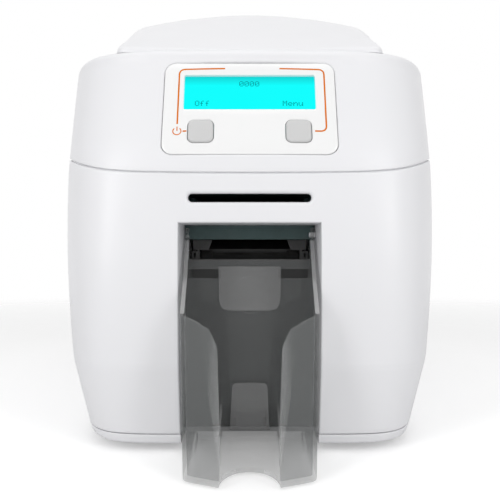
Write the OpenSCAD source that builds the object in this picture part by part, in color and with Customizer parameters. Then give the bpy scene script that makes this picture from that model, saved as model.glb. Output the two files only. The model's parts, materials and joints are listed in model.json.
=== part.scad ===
// Desktop card printer: a card magazine under the hump at the back, a thermal print engine in
// the middle, and at the front a hand-feed slot over a smoked stacker that pulls off its pegs.
// +Z is up and -Y the front, Z = 0 is the table and the origin the middle of the footprint.
// Inside the modules y is the depth behind the front face, and place() moves it to that frame.

/* [Casing] */
// Width at the widest point
body_w = 218; // [214:1:222]
// Depth of the casing, front face to back face
body_d = 380; // [376:1:390]
// Height of the flat shoulder round the hump
roof_z = 212; // [211:1:216]
// Depth of the widest point behind the front face
widest_y = 130; // [120:1:140]
// Height of the crease where the lower flanks start to tuck in
crease_z = 45; // [40:1:50]
// Height of the lid's seam at the front
seam_z = 142.5; // [141:0.5:144]
// Wall of the moulded shells
wall = 2.6; // [2.2:0.1:3]
// Gap along the lid's seam
seam_gap = 0.8; // [0.6:0.1:1.2]
// Backwards lean of the lid's front, in degrees
lean = 22; // [20:1:24]
// Height of the rubber feet
foot_h = 4; // [3:0.5:5]

/* [Hump] */
// Width of the hump over the magazine
hump_w = 155; // [150:1:160]
// Height that the hump levels out at
hump_z = 271; // [268:1:276]
// Radius along the hump's long edges
hump_edge_r = 10; // [8:1:12]
// Width of the magazine's door
door_w = 67; // [64:1:72]

/* [Cards] */
// Width of a card
card_w = 54; // [53:0.25:54.5]
// Length of a card
card_l = 85.6; // [84:0.2:87]
// Thickness of a card
card_t = 0.76; // [0.5:0.02:1]
// Height of the straight card path
path_z = 130; // [129.5:0.25:130.5]
// Height of the magazine above the card path
magazine_h = 78; // [60:1:78]

/* [Front openings] */
// Width of the stacker recess
recess_w = 71; // [70.6:0.2:72]
// Height of the recess ceiling above the table
recess_top_z = 117.5; // [117:0.5:119]
// Depth of the recess
recess_y = 40; // [39.5:0.5:41]
// Width of the hand-feed slot
slot_w = 62.8; // [60:0.2:64]
// Height of the hand-feed slot
slot_h = 5; // [4.5:0.1:5.5]

/* [Control panel] */
// Width of the panel
panel_w = 89.5; // [88:0.5:92]
// Height of the panel along its slope
panel_h = 55.4; // [55:0.2:57]
// Width of the display window
window_w = 68.5; // [64:0.5:70]
// Height of the display window
window_h = 21.2; // [19:0.2:21.6]
// Side of a push-button
button_size = 13; // [12:0.25:13.5]
// Travel of a push-button
button_travel = 1; // [0.6:0.1:1.2]

/* [Stacker] */
// How far the stacker stands out in front of the casing
stacker_reach = 44; // [40:1:48]
// Outer width of the stacker at its back
stacker_w = 68.8; // [68:0.2:69]
// Wall of the stacker
stacker_wall = 2; // [1.6:0.1:2.2]
// Radius of the pegs that it hangs on
peg_r = 1.4; // [1.2:0.1:1.6]

/* [Print engine] */
// Radius of the platen roller
platen_r = 8; // [7:0.25:8.5]
// Radius of the feed rollers
feed_r = 5; // [4.5:0.25:5.5]
// Radius of the roller shafts
shaft_r = 3; // [2.5:0.25:3.25]
// Radius of a full supply roll of dye film
supply_r = 18; // [14:0.5:18]
// Radius of the take-up roll
takeup_r = 15; // [10:0.5:15]
// Gear module of the drive train
gear_module = 1; // [0.95:0.01:1.02]

/* [Hidden] */
$fn = 48;
eps = 0.01;

run_fit = 0.05;  // radial play of a shaft in its bush
seat_gap = 0.2;  // between pieces that sit on one another
part_gap = 0.3;  // between neighbouring pieces

// --- outline of the casing ----------------------------------------------------------------
quarter_steps = 12;
corner_front = 8.6;  // exponents of the superellipse quarters
corner_back = 6;
flank_slope = 0.22;
lean_slope = tan(lean);
blend_h = 14;        // height over which the front bends from upright to its lean
seam_rise = 9;

function unit_x(i) = 1 - pow(1 - i / quarter_steps, 2);
function arc_share(u, nx, ny) = pow(max(0, 1 - pow(u, nx)), 1 / ny);
// A closed outline from its front middle: half-width a, front at f with its middle bowed
// forward by bow, back at r, widest at mid
function outline(a, f, r, bow = 0, nf = corner_front, nb = corner_back, mid = widest_y) =
    let (
        front = [for (i = [0:quarter_steps]) let (u = unit_x(i))
            [a * u, mid - (mid - f - bow * u * u) * arc_share(u, nf, 2)]],
        back = [for (i = [quarter_steps - 1:-1:0])
            [a * unit_x(i), mid + (r - mid) * arc_share(unit_x(i), nb, 4)]],
        side = concat(front, back))
    concat(side, [for (i = [len(side) - 2:-1:1]) [-side[i][0], side[i][1]]]);

function half_w(z) = z < crease_z
    ? half_w(crease_z) - (crease_z - z) * flank_slope
    : body_w / 2 - (z < 140 ? 0.00041 : 0.0002) * pow(z - 140, 2);
seam_front = 0.0014 * pow(seam_z - 100, 2);
seam_slope = 0.0028 * (seam_z - 100);
function front_at(z) =
    z < crease_z ? front_at(crease_z) + (crease_z - z) * 0.27
    : z < 100 ? 0.001 * pow(100 - z, 2)
    : z < seam_z ? 0.0014 * pow(z - 100, 2)
    : z < seam_z + blend_h ? seam_front + seam_slope * (z - seam_z)
        + (lean_slope - seam_slope) * pow(z - seam_z, 2) / (2 * blend_h)
    : seam_front + (seam_slope + lean_slope) * blend_h / 2 + lean_slope * (z - seam_z - blend_h);
function back_at(z) = body_d - max(0, crease_z - z) * 0.2;
function bow_at(z) = z < 100 ? 0 : z < seam_z ? 0.08 * (z - 100) : 3.4 + 0.1 * (z - seam_z);
function seam_at(y) = seam_z + seam_rise * (1 - exp(-max(0, y - seam_front) / 17))
    + 0.1 * (y - seam_front);
function ring_at(z, inset = 0) =
    outline(half_w(z) - inset, front_at(z) + inset, back_at(z) - inset, bow_at(z));
function at_height(ring, z) = [for (p = ring) [p[0], p[1], z]];
// Depth of the outer front face at a place
function face_y(x, z) = let (u = abs(x) / half_w(z))
    widest_y - (widest_y - front_at(z) - bow_at(z) * u * u) * arc_share(u, corner_front, 2);
// Depth of the back face at a place, or of a skin that lies inset within it
function rear_y(x, z, inset = 0) = widest_y
    + (back_at(z) - inset - widest_y) * arc_share(abs(x) / (half_w(z) - inset), corner_back, 4);

// --- skins --------------------------------------------------------------------------------
function skin_faces(loops, n) = [for (k = [0:loops - 2], i = [0:n - 1])
    let (a = k * n + i, b = k * n + (i + 1) % n, c = b + n, d = a + n)
    each [[a, d, c], [a, c, b]]];
// A tube: outer loops from the bottom up, then inner loops back down
module tube_skin(loops) {
    n = len(loops[0]);
    m = len(loops);
    closing = [for (i = [0:n - 1])
        let (a = (m - 1) * n + i, b = (m - 1) * n + (i + 1) % n, c = (i + 1) % n, d = i)
        each [[a, d, c], [a, c, b]]];
    polyhedron([for (l = loops) each l], concat(skin_faces(m, n), closing));
}
// A cup or a cover: the first loop is closed from below and the last from above
module closed_skin(loops, mid_y) {
    n = len(loops[0]);
    m = len(loops);
    middles = [[0, mid_y, loops[0][0][2]], [0, mid_y, loops[m - 1][0][2]]];
    polyhedron(concat([for (l = loops) each l], middles), concat(
        skin_faces(m, n),
        [for (i = [0:n - 1]) [m * n, i, (i + 1) % n]],
        [for (i = [0:n - 1]) [m * n + 1, (m - 1) * n + (i + 1) % n, (m - 1) * n + i]]));
}
function span(mid, low, high) = [mid + low, mid + high];
function reversed(list) = [for (i = [len(list) - 1:-1:0]) list[i]];

// --- plain helpers ------------------------------------------------------------------------
module block(x, y, z) translate([x[0], y[0], z[0]])
    cube([x[1] - x[0], y[1] - y[0], z[1] - z[0]]);
module rod(x, y, z, r) translate([x[0], y, z]) rotate([0, 90, 0]) cylinder(h = x[1] - x[0], r = r);
// Raises a drawing of depth against height along X
module across(x) translate([x[0], 0, 0]) rotate([90, 0, 90]) linear_extrude(x[1] - x[0]) children();
// Raises a drawing of width against height along the depth
module along(y) translate([0, y[1], 0]) rotate([90, 0, 0]) linear_extrude(y[1] - y[0]) children();
module both_sides() { children(); mirror([1, 0, 0]) children(); }
module round_rect(w, h, r) offset(r) square([w - 2 * r, h - 2 * r], center = true);
module pill(w, h) {
    square([w - h, h], center = true);
    for (s = [-1, 1]) translate([s * (w - h) / 2, 0]) circle(d = h);
}

// --- base and casing ----------------------------------------------------------------------
pan_floor = 2.4;
pan_top_z = foot_h + 5.2;
case_z = pan_top_z + 0.4;
floor_z = foot_h + pan_floor;
boss_in = 23;           // screws, in from the widest point
boss_back = 90;         // rear screws, ahead of the back
boss_x = body_w / 2 - boss_in;
boss_ys = [widest_y, body_d - boss_back];
foot_in = 39;
foot_ends = [70, 60];   // feet, from the front and from the back
foot_spots = [for (y = [foot_ends[0], body_d - foot_ends[1]]) [body_w / 2 - foot_in, y]];
foot_r = 8;
screw_r = 1.5;
head_r = 3;

module recess_cut(z0, z1) block([-recess_w / 2, recess_w / 2], [-20, recess_y], [z0, z1]);
module each_boss() for (y = boss_ys, s = [-1, 1]) translate([s * boss_x, y, 0]) children();

module base_pan() color("white") difference() {
    union() {
        closed_skin([
            at_height(ring_at(foot_h, 2), foot_h),
            at_height(ring_at(foot_h + 1.6, 0.3), foot_h + 1.6),
            at_height(ring_at(pan_top_z), pan_top_z),
            at_height(ring_at(pan_top_z, wall), pan_top_z),
            at_height(ring_at(floor_z, wall + 1), floor_z)], hump_mid_y);
        each_boss() translate([0, 0, foot_h]) cylinder(h = pan_top_z - foot_h, r = head_r + 2.4);
    }
    recess_cut(0, 60);
    each_boss() cylinder(h = 20, r = screw_r + 0.3);
    each_boss() cylinder(h = foot_h + 3, r = head_r + 0.3);
}

module rubber_feet() color("dimgray") for (p = foot_spots, s = [-1, 1])
    translate([s * p[0], p[1], 0]) {
        cylinder(h = foot_h, r = foot_r);
    }

module case_screws() color("silver") each_boss() {
    translate([0, 0, foot_h + 1.4]) cylinder(h = 1.6 - eps, r = head_r);
    translate([0, 0, foot_h + 2.9]) cylinder(h = 14, r = screw_r);
}

recess_wall = 2.5;
face_inset = 1.3;  // how far the walls behind the front face stay back from it
case_shares = [0, 0.25, 0.5, 0.75, 1];
// Share 0 lies at the crease and share 1 at the seam, which rises from front to back
function case_loop(share, inset) =
    let (flat = ring_at(seam_z))
    [for (i = [0:len(flat) - 1])
        let (z = crease_z + share * (seam_at(flat[i][1]) - seam_gap / 2 - crease_z),
             p = ring_at(z, inset)[i]) [p[0], p[1], z]];
function case_loops(inset) = concat([at_height(ring_at(case_z, inset), case_z)],
    [for (s = case_shares) case_loop(s, inset)]);

// Depth against height of what may stand behind the front face, down to depth y1
module behind_face(z0, z1, y1) polygon(concat(
    [for (k = [0:8]) let (z = z0 + (z1 - z0) * k / 8) [front_at(z) + face_inset, z]],
    [[y1, z1], [y1, z0]]));

module recess_walls() {
    x1 = recess_w / 2 + recess_wall;
    z1 = recess_top_z + recess_wall;
    intersection() {
        across([-x1, x1]) behind_face(case_z, z1, recess_y);
        difference() {
            block([-x1, x1], [-10, recess_y + 10], [case_z - 1, z1]);
            block([-recess_w / 2, recess_w / 2], [-11, recess_y + 11], [case_z - 2, recess_top_z]);
        }
    }
}

module case_boss() {
    cylinder(h = 16, r = head_r + 2);
    translate([0, -1.2, 0]) cube([10.5, 2.4, 10]);
}

peg_y = recess_y - 8.5;
peg_z = 112.2;
peg_x = stacker_w / 2 - stacker_wall - 0.4;
rear_wall_z = 80;
fan_in = 61;            // fan and inlet, in from the widest point
fan_x = body_w / 2 - fan_in;
fan_size = 40;
fan_t = 10;
fan_back_y = rear_y(fan_x + fan_size / 2, rear_wall_z, wall) - 1;
inlet_in = 54;
inlet_x = inlet_in - body_w / 2;
inlet_z = 24;
inlet_r = 5.5;
board_z = floor_z + 8;
board_t = 1.6;
port_z = board_z + board_t + seat_gap;
socket_fit = 0.3;       // of a socket in its hole
usb = [12, 16, 11];     // width, depth and height of the sockets' shells
ethernet = [16, 21, 13.5];

module fan_holes(r) for (sx = [-1, 1], sz = [-1, 1])
    translate([fan_x + sx * 16, 0, rear_wall_z + sz * 16]) rotate([-90, 0, 0]) cylinder(h = 400, r = r);
module vent_slots() for (i = [-3:3]) let (h = 34 - 2.2 * i * i)
    block([fan_x + i * 4.6 - 1.3, fan_x + i * 4.6 + 1.3], span(body_d, -20, 20), span(rear_wall_z, -h / 2, h / 2));
// The hole for a socket whose middle is at x and whose face is at y
module port_cut(x, y, size) block(span(x, -size[0] / 2 - socket_fit, size[0] / 2 + socket_fit),
    [y - size[1] - 1, body_d + 20], span(port_z, -socket_fit, size[2] + socket_fit));
module port_cuts() {
    port_cut(usb_x, usb_y, usb);
    port_cut(ethernet_x, ethernet_y, ethernet);
    translate([inlet_x, body_d - 20, inlet_z]) rotate([-90, 0, 0]) cylinder(h = 40, r = inlet_r + socket_fit);
}

hinge_r = 3.4;
hinge_pin_r = 1.5;
hinge_y = body_d + 0.5 + hinge_r;
hinge_z = seam_at(body_d);
hinge_x = 50;
leaf_w = 6;
module hinge_knuckle(x0, z0, z1) {
    rod([x0, x0 + leaf_w], hinge_y, hinge_z, hinge_r);
    block([x0, x0 + leaf_w], [body_d - 2.4, hinge_y], [z0, z1]);
}

module main_case() color("white") difference() {
    union() {
        difference() {
            tube_skin(concat(case_loops(0), reversed(case_loops(wall))));
            recess_cut(0, recess_top_z);
        }
        recess_walls();
        both_sides() rod([peg_x, recess_w / 2 + 1], peg_y, peg_z, peg_r);
        for (y = boss_ys) both_sides() translate([boss_x, y, case_z]) case_boss();
        intersection() {
            translate([0, fan_back_y, 0]) fan_holes(2.6);
            translate([0, 0, rear_wall_z]) cube([300, 2 * (body_d - wall) + 2, 100], center = true);
        }
        both_sides() for (x0 = span(hinge_x, -leaf_w * 1.5 - 0.4, leaf_w / 2 + 0.4))
            hinge_knuckle(x0, hinge_z - 8, hinge_z - 0.8);
    }
    along([-10, recess_y / 2]) translate([0, path_z]) pill(slot_w, slot_h);
    each_boss() cylinder(h = case_z + 14.4, r = screw_r + run_fit);
    vent_slots();
    translate([0, fan_back_y - 1, 0]) fan_holes(1.2);
    port_cuts();
    both_sides() rod([hinge_x - 20, hinge_x + 20], hinge_y, hinge_z, hinge_pin_r + run_fit);
}

pin_end = hinge_x + 1.5 * leaf_w + 0.4;
module hinge_pins() color("silver") both_sides()
    rod([2 * hinge_x - pin_end, pin_end], hinge_y, hinge_z, hinge_pin_r);

// --- stacker recess -----------------------------------------------------------------------
mouth_z = [recess_top_z - 18.5, recess_top_z - 8];
seat_t = 3;
seat_half_w = recess_w / 2 - part_gap;

module stacker_seat() color([0.22, 0.22, 0.22]) {
    block([-seat_half_w, seat_half_w], [recess_y + seat_gap, recess_y + seat_t],
        [floor_z + seat_gap, mouth_z[0]]);
    translate([0, recess_y + seat_gap - 0.7, 79]) rotate([-90, 0, 0]) cylinder(h = 1.2, r = 10.2);
    // funnel lip under the mouth
    across([-plate_in + 1, plate_in - 1]) polygon([[recess_y + 1, mouth_z[0]],
        [recess_y + seat_t, mouth_z[0]], [recess_y + seat_t + 3, mouth_z[0] - 4],
        [recess_y + seat_t + 3, mouth_z[0] - 6], [recess_y + 1, mouth_z[0] - 6]]);
    both_sides() mouth_bracket();
}

// One of the two black brackets that hang beside the mouth, clear of the card
bracket_x = card_w / 2 + 0.6;
module mouth_bracket() along([recess_y + seat_gap, recess_y + seat_t]) difference() {
    union() {
        translate([bracket_x, mouth_z[0] - 1]) square([1.3, mouth_z[1] - mouth_z[0] + 1]);
        translate([bracket_x + 1.2, mouth_z[0] - 1]) square([3.2, 5.4]);
        polygon([[bracket_x - 6.9, mouth_z[1]], [bracket_x - 5, mouth_z[1] - 5.4], [bracket_x + 3.4, mouth_z[1] - 5.4],
            [bracket_x + 3.8, mouth_z[1]]]);
    }
    translate([bracket_x + 2.2, mouth_z[0] + 0.8]) square([1.2, 2.6]);
}

bezel_y = recess_y - 5;
module exit_bezel() color([0.16, 0.27, 0.27]) {
    block([-seat_half_w, seat_half_w], [bezel_y, bezel_y + 2], [mouth_z[1] + part_gap, recess_top_z - seat_gap]);
    block([-23, 23], [bezel_y - 0.5, bezel_y + 1], [recess_top_z - 2.4, recess_top_z - seat_gap]);
    block([-seat_half_w, seat_half_w], [bezel_y, recess_y + seat_t],
        [mouth_z[1] + part_gap, mouth_z[1] + 1.8]);
}

// --- frame of the print engine --------------------------------------------------------------
plate_in = card_w / 2 + 7;
plate_t = 2;
plate_out = plate_in + plate_t;
plate_top_z = path_z + 16;
ear_top_z = path_z + 28;
bush_r = shaft_r + 1.5;
flange_t = 0.8;

// The print line stands at a share of the casing's depth. The stations behind it keep their places
// from it and from the magazine, and those ahead of it keep theirs from the stacker's recess.
print_share = 0.3;
print_lead = 36;
platen_y = print_lead + print_share * body_d;
mid_y_feed = platen_y + 75;
magazine_y0 = platen_y + 100;
clean_y = magazine_y0 - 10;
pick_y = magazine_y0 + 35;
exit_y = recess_y + 10;
front_y_feed = recess_y + 30;
pick_r = 9;
pinch_r = 4.5;
pinch_shaft_r = 2;
clean_r = 5;
clean_shaft_r = 2.5;
exit_r = 4;
half_card = card_t / 2;
platen_z = path_z - half_card - platen_r;
feed_z = path_z - half_card - feed_r;
pick_z = path_z - half_card - pick_r;
pinch_z = path_z + half_card + pinch_r;
clean_z = path_z + half_card + clean_r;
takeup = [recess_y + 58, path_z + 22];
supply = [platen_y + 55, path_z + 22];
spool_shaft_r = 3.5;

// The second path drops from the gate to the mouth over the stacker
drop_from_y = platen_y - 10;
drop_h = 26.01;  // from the straight path down to the exit roller
drop_slope = drop_h / (drop_from_y - exit_y);
function drop_z(y) = path_z - (drop_from_y - y) * drop_slope;
exit_z = drop_z(exit_y) - half_card - exit_r;
shaft_spots = [[platen_y, platen_z], [front_y_feed, feed_z], [mid_y_feed, feed_z],
    [pick_y, pick_z], [exit_y, exit_z]];

plate_front_y = recess_y + seat_t + 0.8;
plate_back_y = body_d - 30;
plate_foot_z = floor_z + seat_gap;
front_leg = [front_y_feed + 2, front_y_feed + 58];
back_leg_y = magazine_y0 + 12;
arch_z = 44;            // the legs' arch lets wiring through
leg_spread = 22;
foot_inset = 6;
module plate_drawing() difference() {
    polygon([[plate_front_y, mouth_z[0] - 21], [front_leg[0], arch_z + 8],
        [front_leg[0], plate_foot_z], [front_leg[1], plate_foot_z],
        [front_leg[1] + leg_spread, arch_z], [back_leg_y - leg_spread, arch_z],
        [back_leg_y, plate_foot_z], [plate_back_y, plate_foot_z],
        [plate_back_y, plate_top_z - 14], [plate_back_y - 12, plate_top_z],
        [supply[0] + 16, plate_top_z], [supply[0] + 10, ear_top_z], [supply[0] - 10, ear_top_z],
        [supply[0] - 16, plate_top_z], [takeup[0] + 16, plate_top_z], [takeup[0] + 10, ear_top_z],
        [takeup[0] - 10, ear_top_z], [takeup[0] - 16, plate_top_z],
        [plate_front_y, plate_top_z]]);
    for (p = shaft_spots) translate(p) circle(r = bush_r + run_fit);
    for (y = [front_y_feed, mid_y_feed]) translate([y, pinch_z]) circle(r = pinch_shaft_r + run_fit);
    translate(gate_pivot) circle(r = gate_shaft_r + run_fit);
    for (p = [takeup, supply]) open_bearing(p, spool_shaft_r + run_fit, ear_top_z);
    open_bearing([clean_y, clean_z], clean_shaft_r + run_fit, plate_top_z);
    // lightening holes
    translate([platen_y + 50, 90]) circle(r = 20);
    translate([magazine_y0 + 50, 75]) circle(r = 21);
    translate([takeup[0], 84]) circle(r = 15);
}
module open_bearing(p, r, top_z) {
    translate(p) circle(r = r);
    translate([p[0] - r, p[1]]) square([2 * r, top_z - p[1] + 1]);
}
module plate_foot(y0, y1) block([plate_in, plate_out + 7], [y0, y1],
    [plate_foot_z, plate_foot_z + plate_t]);
module side_plate(extra_holes = false) {
    across([plate_in, plate_out]) difference() {
        plate_drawing();
        if (extra_holes) motor_mount_holes();
    }
    plate_foot(front_leg[0] + foot_inset, front_leg[1] - foot_inset);
    plate_foot(back_leg_y + foot_inset, plate_back_y - 2 * foot_inset);
}
module left_side_plate() color("silver") mirror([1, 0, 0]) {
    side_plate();
}
module right_side_plate() color("silver") side_plate(true);

module ring_bush() difference() {
    union() {
        rod([plate_in, plate_out + run_fit + flange_t], 0, 0, bush_r);
        rod([plate_out + run_fit, plate_out + run_fit + flange_t], 0, 0, bush_r + 1.2);
    }
    rod([plate_in - 1, plate_out + 3], 0, 0, shaft_r + run_fit);
}
module roller_bushes() color("burlywood") both_sides() for (p = shaft_spots)
    translate([0, p[0], p[1]]) ring_bush();

// --- card path --------------------------------------------------------------------------------
track_t = 2.8;
track_top_z = path_z - half_card - 0.32;
track_w = card_w + 8;
rail_in = card_w / 2 + 0.4;
magazine_wall = 2.5;
magazine_in = card_w / 2 + 0.75;
magazine_y = [magazine_y0, magazine_y0 + card_l + 1.4];
track_y = [recess_y + 22, magazine_y[1] + 10];
lug_ys = [front_y_feed + 10, platen_y + 20, magazine_y0 + 12, magazine_y0 + 70];
rib_ys = [takeup[0] + 2, platen_y + 40, magazine_y0 + 56];
roller_half = card_w / 2 - 2;
pick_half = 15;

module track_window(y, r, w) block([-w / 2, w / 2], [y - r - 2, y + r + 2], [0, 200]);
module card_track() color([0.2, 0.2, 0.2]) difference() {
    union() {
        block([-track_w / 2, track_w / 2], track_y, [track_top_z - track_t, track_top_z]);
        both_sides() block([rail_in, track_w / 2], [track_y[0], magazine_y[0] - magazine_wall - 0.5],
            [track_top_z - 1, path_z + 1]);
        both_sides() for (y = lug_ys)
            block([track_w / 2 - 1, plate_in - seat_gap], [y, y + 10], [track_top_z - track_t, track_top_z]);
        both_sides() for (y = rib_ys)
            block([track_w / 2 - 4, track_w / 2 - 2], [y - 14, y + 14], [track_top_z - track_t - 4, track_top_z - 1]);
    }
    track_window(platen_y, platen_r, card_w + 3);
    track_window(front_y_feed, feed_r - 1, 2 * roller_half + 2);
    track_window(mid_y_feed, feed_r - 1, 2 * roller_half + 2);
    track_window(pick_y, pick_r - 2, 2 * pick_half + 4);
    block([-rail_in - 1, rail_in + 1], [gate_pivot[0] - 3.4, drop_from_y - 1], [0, 200]);
    for (y = [front_y_feed, mid_y_feed]) rod([-50, 50], y, feed_z, shaft_r + part_gap);
    rod([-50, 50], gate_pivot[0], gate_pivot[1], gate_shaft_r + part_gap);
}

gate_shaft_r = 1.5;
gate_pivot = [recess_y + 60.5, path_z - 2.6];
gate_len = 23;
module exit_gate() color([0.3, 0.3, 0.32]) {
    rod([-plate_out - 0.5, plate_out + 1.6], gate_pivot[0], gate_pivot[1], gate_shaft_r);
    rod([-card_w / 2, card_w / 2], gate_pivot[0], gate_pivot[1], gate_shaft_r + 0.7);
    across([-card_w / 2, card_w / 2]) polygon([
        [gate_pivot[0], track_top_z - 1.8], [gate_pivot[0] + gate_len, track_top_z - 0.9],
        [gate_pivot[0] + gate_len, track_top_z], [gate_pivot[0], track_top_z]]);
    // lever on the gate's shaft, outside the right plate
    across([plate_out + 0.3, plate_out + 1.6]) difference() {
        union() {
            translate(gate_pivot) circle(r = 4);
            translate([gate_pivot[0] - 14, gate_pivot[1] - 2]) square([14, 4]);
        }
        translate([gate_pivot[0] - 11, gate_pivot[1]]) circle(r = 1);
    }
}

chute_t = 2;
chute_lug = [front_y_feed + 6, front_y_feed + 22];
module chute_slab(x, y0, y1) across(x) polygon([
    [y0, drop_z(y0) - 1.2 - chute_t], [y1, drop_z(y1) - 1.2 - chute_t],
    [y1, drop_z(y1) - 1.2], [y0, drop_z(y0) - 1.2]]);
module exit_chute() color([0.25, 0.25, 0.25]) {
    chute_slab([-card_w / 2 - 1, card_w / 2 + 1], exit_y + exit_r + 2, drop_from_y - 3);
    chute_slab([-plate_in + seat_gap, plate_in - seat_gap], chute_lug[0], chute_lug[1]);
    both_sides() block([plate_in - seat_gap - 1.6, plate_in - seat_gap], chute_lug,
        span(drop_z(chute_lug[0]), -10, 0));
}

// Two dark guide plates take the card from the slot and narrow down to the track
guide_y = [face_y(0, path_z) + wall + 1, recess_y - 7, track_y[0] - 1];
guide_t = 1.6;
guide_open = [slot_h / 2 + 0.1, 0.8];  // half the gap between them at the slot and at the track
module slot_guide() color([0.16, 0.27, 0.27]) {
    x1 = plate_in - part_gap;
    for (s = [-1, 1]) {
        guide_block([-x1, x1], [guide_y[0], guide_y[1] + eps], s * guide_open[0]);
        across([-x1, x1]) polygon([[guide_y[1], path_z + s * guide_open[0]],
            [guide_y[2], path_z + s * guide_open[1]], [guide_y[2], path_z + s * (guide_open[1] + guide_t)],
            [guide_y[1], path_z + s * (guide_open[0] + guide_t)]]);
    }
    both_sides() {
        block([slot_w / 2 + part_gap, x1], [guide_y[0], guide_y[1]], span(path_z, -guide_open[0], guide_open[0]));
        block([rail_in + 2, x1], [guide_y[1], guide_y[2]], span(path_z, -2, 2));
    }
}
module guide_block(x, y, h) block(x, y, span(path_z, min(h, h + sign(h) * guide_t), max(h, h + sign(h) * guide_t)));

// --- rollers ----------------------------------------------------------------------------------
lane = [for (k = [0:3]) plate_out + 2 + 4 * k];  // near edges of the belts' and gears' planes, right of the frame
lane_w = 3;
pulley_r = 6;
module pulley(n) {
    rod([lane[n], lane[n] + lane_w], 0, 0, pulley_r);
    rod([lane[n] - 0.7, lane[n]], 0, 0, pulley_r + 1.2);
    rod([lane[n] + lane_w, lane[n] + lane_w + 0.7], 0, 0, pulley_r + 1.2);
}
module roller(y, z, r, half_l, end_x, lanes = []) translate([0, y, z]) {
    rod([-half_l, half_l], 0, 0, r);
    rod([-plate_out - 1.6, end_x], 0, 0, shaft_r);
    for (n = lanes) pulley(n);
}
module platen_roller() color([0.15, 0.15, 0.16])
    roller(platen_y, platen_z, platen_r, card_w / 2 + 1, gear_x[1], [0, 1]);
module front_feed_roller() color([0.15, 0.15, 0.16])
    roller(front_y_feed, feed_z, feed_r, roller_half, lane[1] + 4, [0, 1]);
module mid_feed_roller() color([0.15, 0.15, 0.16])
    roller(mid_y_feed, feed_z, feed_r, roller_half, lane[2] + 4, [1, 2]);
module pick_roller() color([0.15, 0.15, 0.16])
    roller(pick_y, pick_z, pick_r, pick_half, lane[2] + 4, [2]);
module exit_roller() color([0.15, 0.15, 0.16]) translate([0, exit_y, exit_z]) {
    both_sides() rod([card_w / 2 - 6, card_w / 2], 0, 0, exit_r);
    rod([-plate_out - 1.6, lane[1] + 4], 0, 0, shaft_r);
    pulley(1);
}
module front_pinch_roller() color("gray") pinch_roller(front_y_feed);
module mid_pinch_roller() color("gray") pinch_roller(mid_y_feed);
module pinch_roller(y) {
    rod([1 - roller_half, roller_half - 1], y, pinch_z, pinch_r);
    rod([-plate_out - 1, plate_out + 1], y, pinch_z, pinch_shaft_r);
}
module cleaning_roller() color("deepskyblue") {
    rod([-card_w / 2, card_w / 2], clean_y, clean_z, clean_r);
    rod([-plate_out - 1, plate_out + 1], clean_y, clean_z, clean_shaft_r);
}

// A belt round two equal pulleys
belt_t = 1;
module belt_drawing(a, b) {
    module loop(r) hull() for (p = [a, b]) translate(p) circle(r = r, $fn = 32);
    difference() {
        loop(pulley_r + part_gap + belt_t);
        loop(pulley_r + part_gap);
    }
}
module belt(n, a, b) across([lane[n] + 0.3, lane[n] + lane_w - 0.3]) belt_drawing(a, b);
module drive_belts() color([0.12, 0.12, 0.12]) {
    belt(0, [front_y_feed, feed_z], [platen_y, platen_z]);
    belt(1, [exit_y, exit_z], [front_y_feed, feed_z]);
    belt(1, [platen_y, platen_z], [mid_y_feed, feed_z]);
    belt(2, [mid_y_feed, feed_z], [pick_y, pick_z]);
}

// --- gears ------------------------------------------------------------------------------------
pressure = 20;
backlash = 0.16;
function involute(base_r, a) = base_r * [cos(a) + a * PI / 180 * sin(a), sin(a) - a * PI / 180 * cos(a)];
function turned(p, a) = [p[0] * cos(a) - p[1] * sin(a), p[0] * sin(a) + p[1] * cos(a)];
// One flank from the root to the tip, turned so that the tooth's middle lies on X
function flank(teeth, m) =
    let (pr = m * teeth / 2, br = pr * cos(pressure), tip = pr + m, root = pr - 1.25 * m,
         tip_a = sqrt(pow(tip / br, 2) - 1) * 180 / PI,
         start_a = root > br ? sqrt(pow(root / br, 2) - 1) * 180 / PI : 0,
         pitch_a = tan(pressure) * 180 / PI - pressure,
         half_a = 90 / teeth - (backlash / 2) / pr * 180 / PI + pitch_a)
    concat([turned([root, 0], -half_a)],
        [for (k = [0:4]) turned(involute(br, start_a + (tip_a - start_a) * k / 4), -half_a)]);
module gear_drawing(teeth, m) polygon([for (i = [0:teeth - 1]) let (f = flank(teeth, m))
    each concat([for (p = f) turned(p, i * 360 / teeth)],
        [for (p = reversed(f)) turned([p[0], -p[1]], i * 360 / teeth)])]);

platen_teeth = 42;
motor_teeth = 14;
film_teeth = 12;
takeup_teeth = 30;
centre_play = 0.1;
gear_x = [lane[3] + 0.4, lane[3] + 6.4];
drive_gap = gear_module * (platen_teeth + motor_teeth) / 2 + centre_play;
motor_z = platen_z - drive_gap;
module platen_gear() color("white") translate([0, platen_y, platen_z]) difference() {
    across(gear_x) difference() {
        gear_drawing(platen_teeth, gear_module);
        circle(r = shaft_r + 0.02);
        for (a = [0:60:300]) rotate(a) translate([gear_module * platen_teeth / 2 * 0.6, 0]) circle(r = 3.6);
    }
}
motor_side = 35.2;
motor_shaft_r = 2.5;
module motor_mount_holes() translate([platen_y, motor_z]) {
    circle(r = 11.2);
    for (sx = [-1, 1], sz = [-1, 1]) translate([sx * 13, sz * 13]) circle(r = 1.6);
}
module drive_motor() color([0.18, 0.18, 0.2]) translate([0, platen_y, motor_z]) {
    across([0, plate_in - seat_gap]) difference() {
        square(motor_side, center = true);
        for (a = [45:90:315]) rotate(a) translate([motor_side * 0.7, 0]) square([5, 12], center = true);
    }
    rod([plate_in - 1, plate_out], 0, 0, 11);
    for (sy = [-1, 1], sz = [-1, 1]) {
        rod([plate_in - 3, plate_out + 0.2], sy * 13, sz * 13, 1.5);
        rod([plate_out + 0.15, plate_out + 2.4], sy * 13, sz * 13, 2.8);
    }
}
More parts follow.
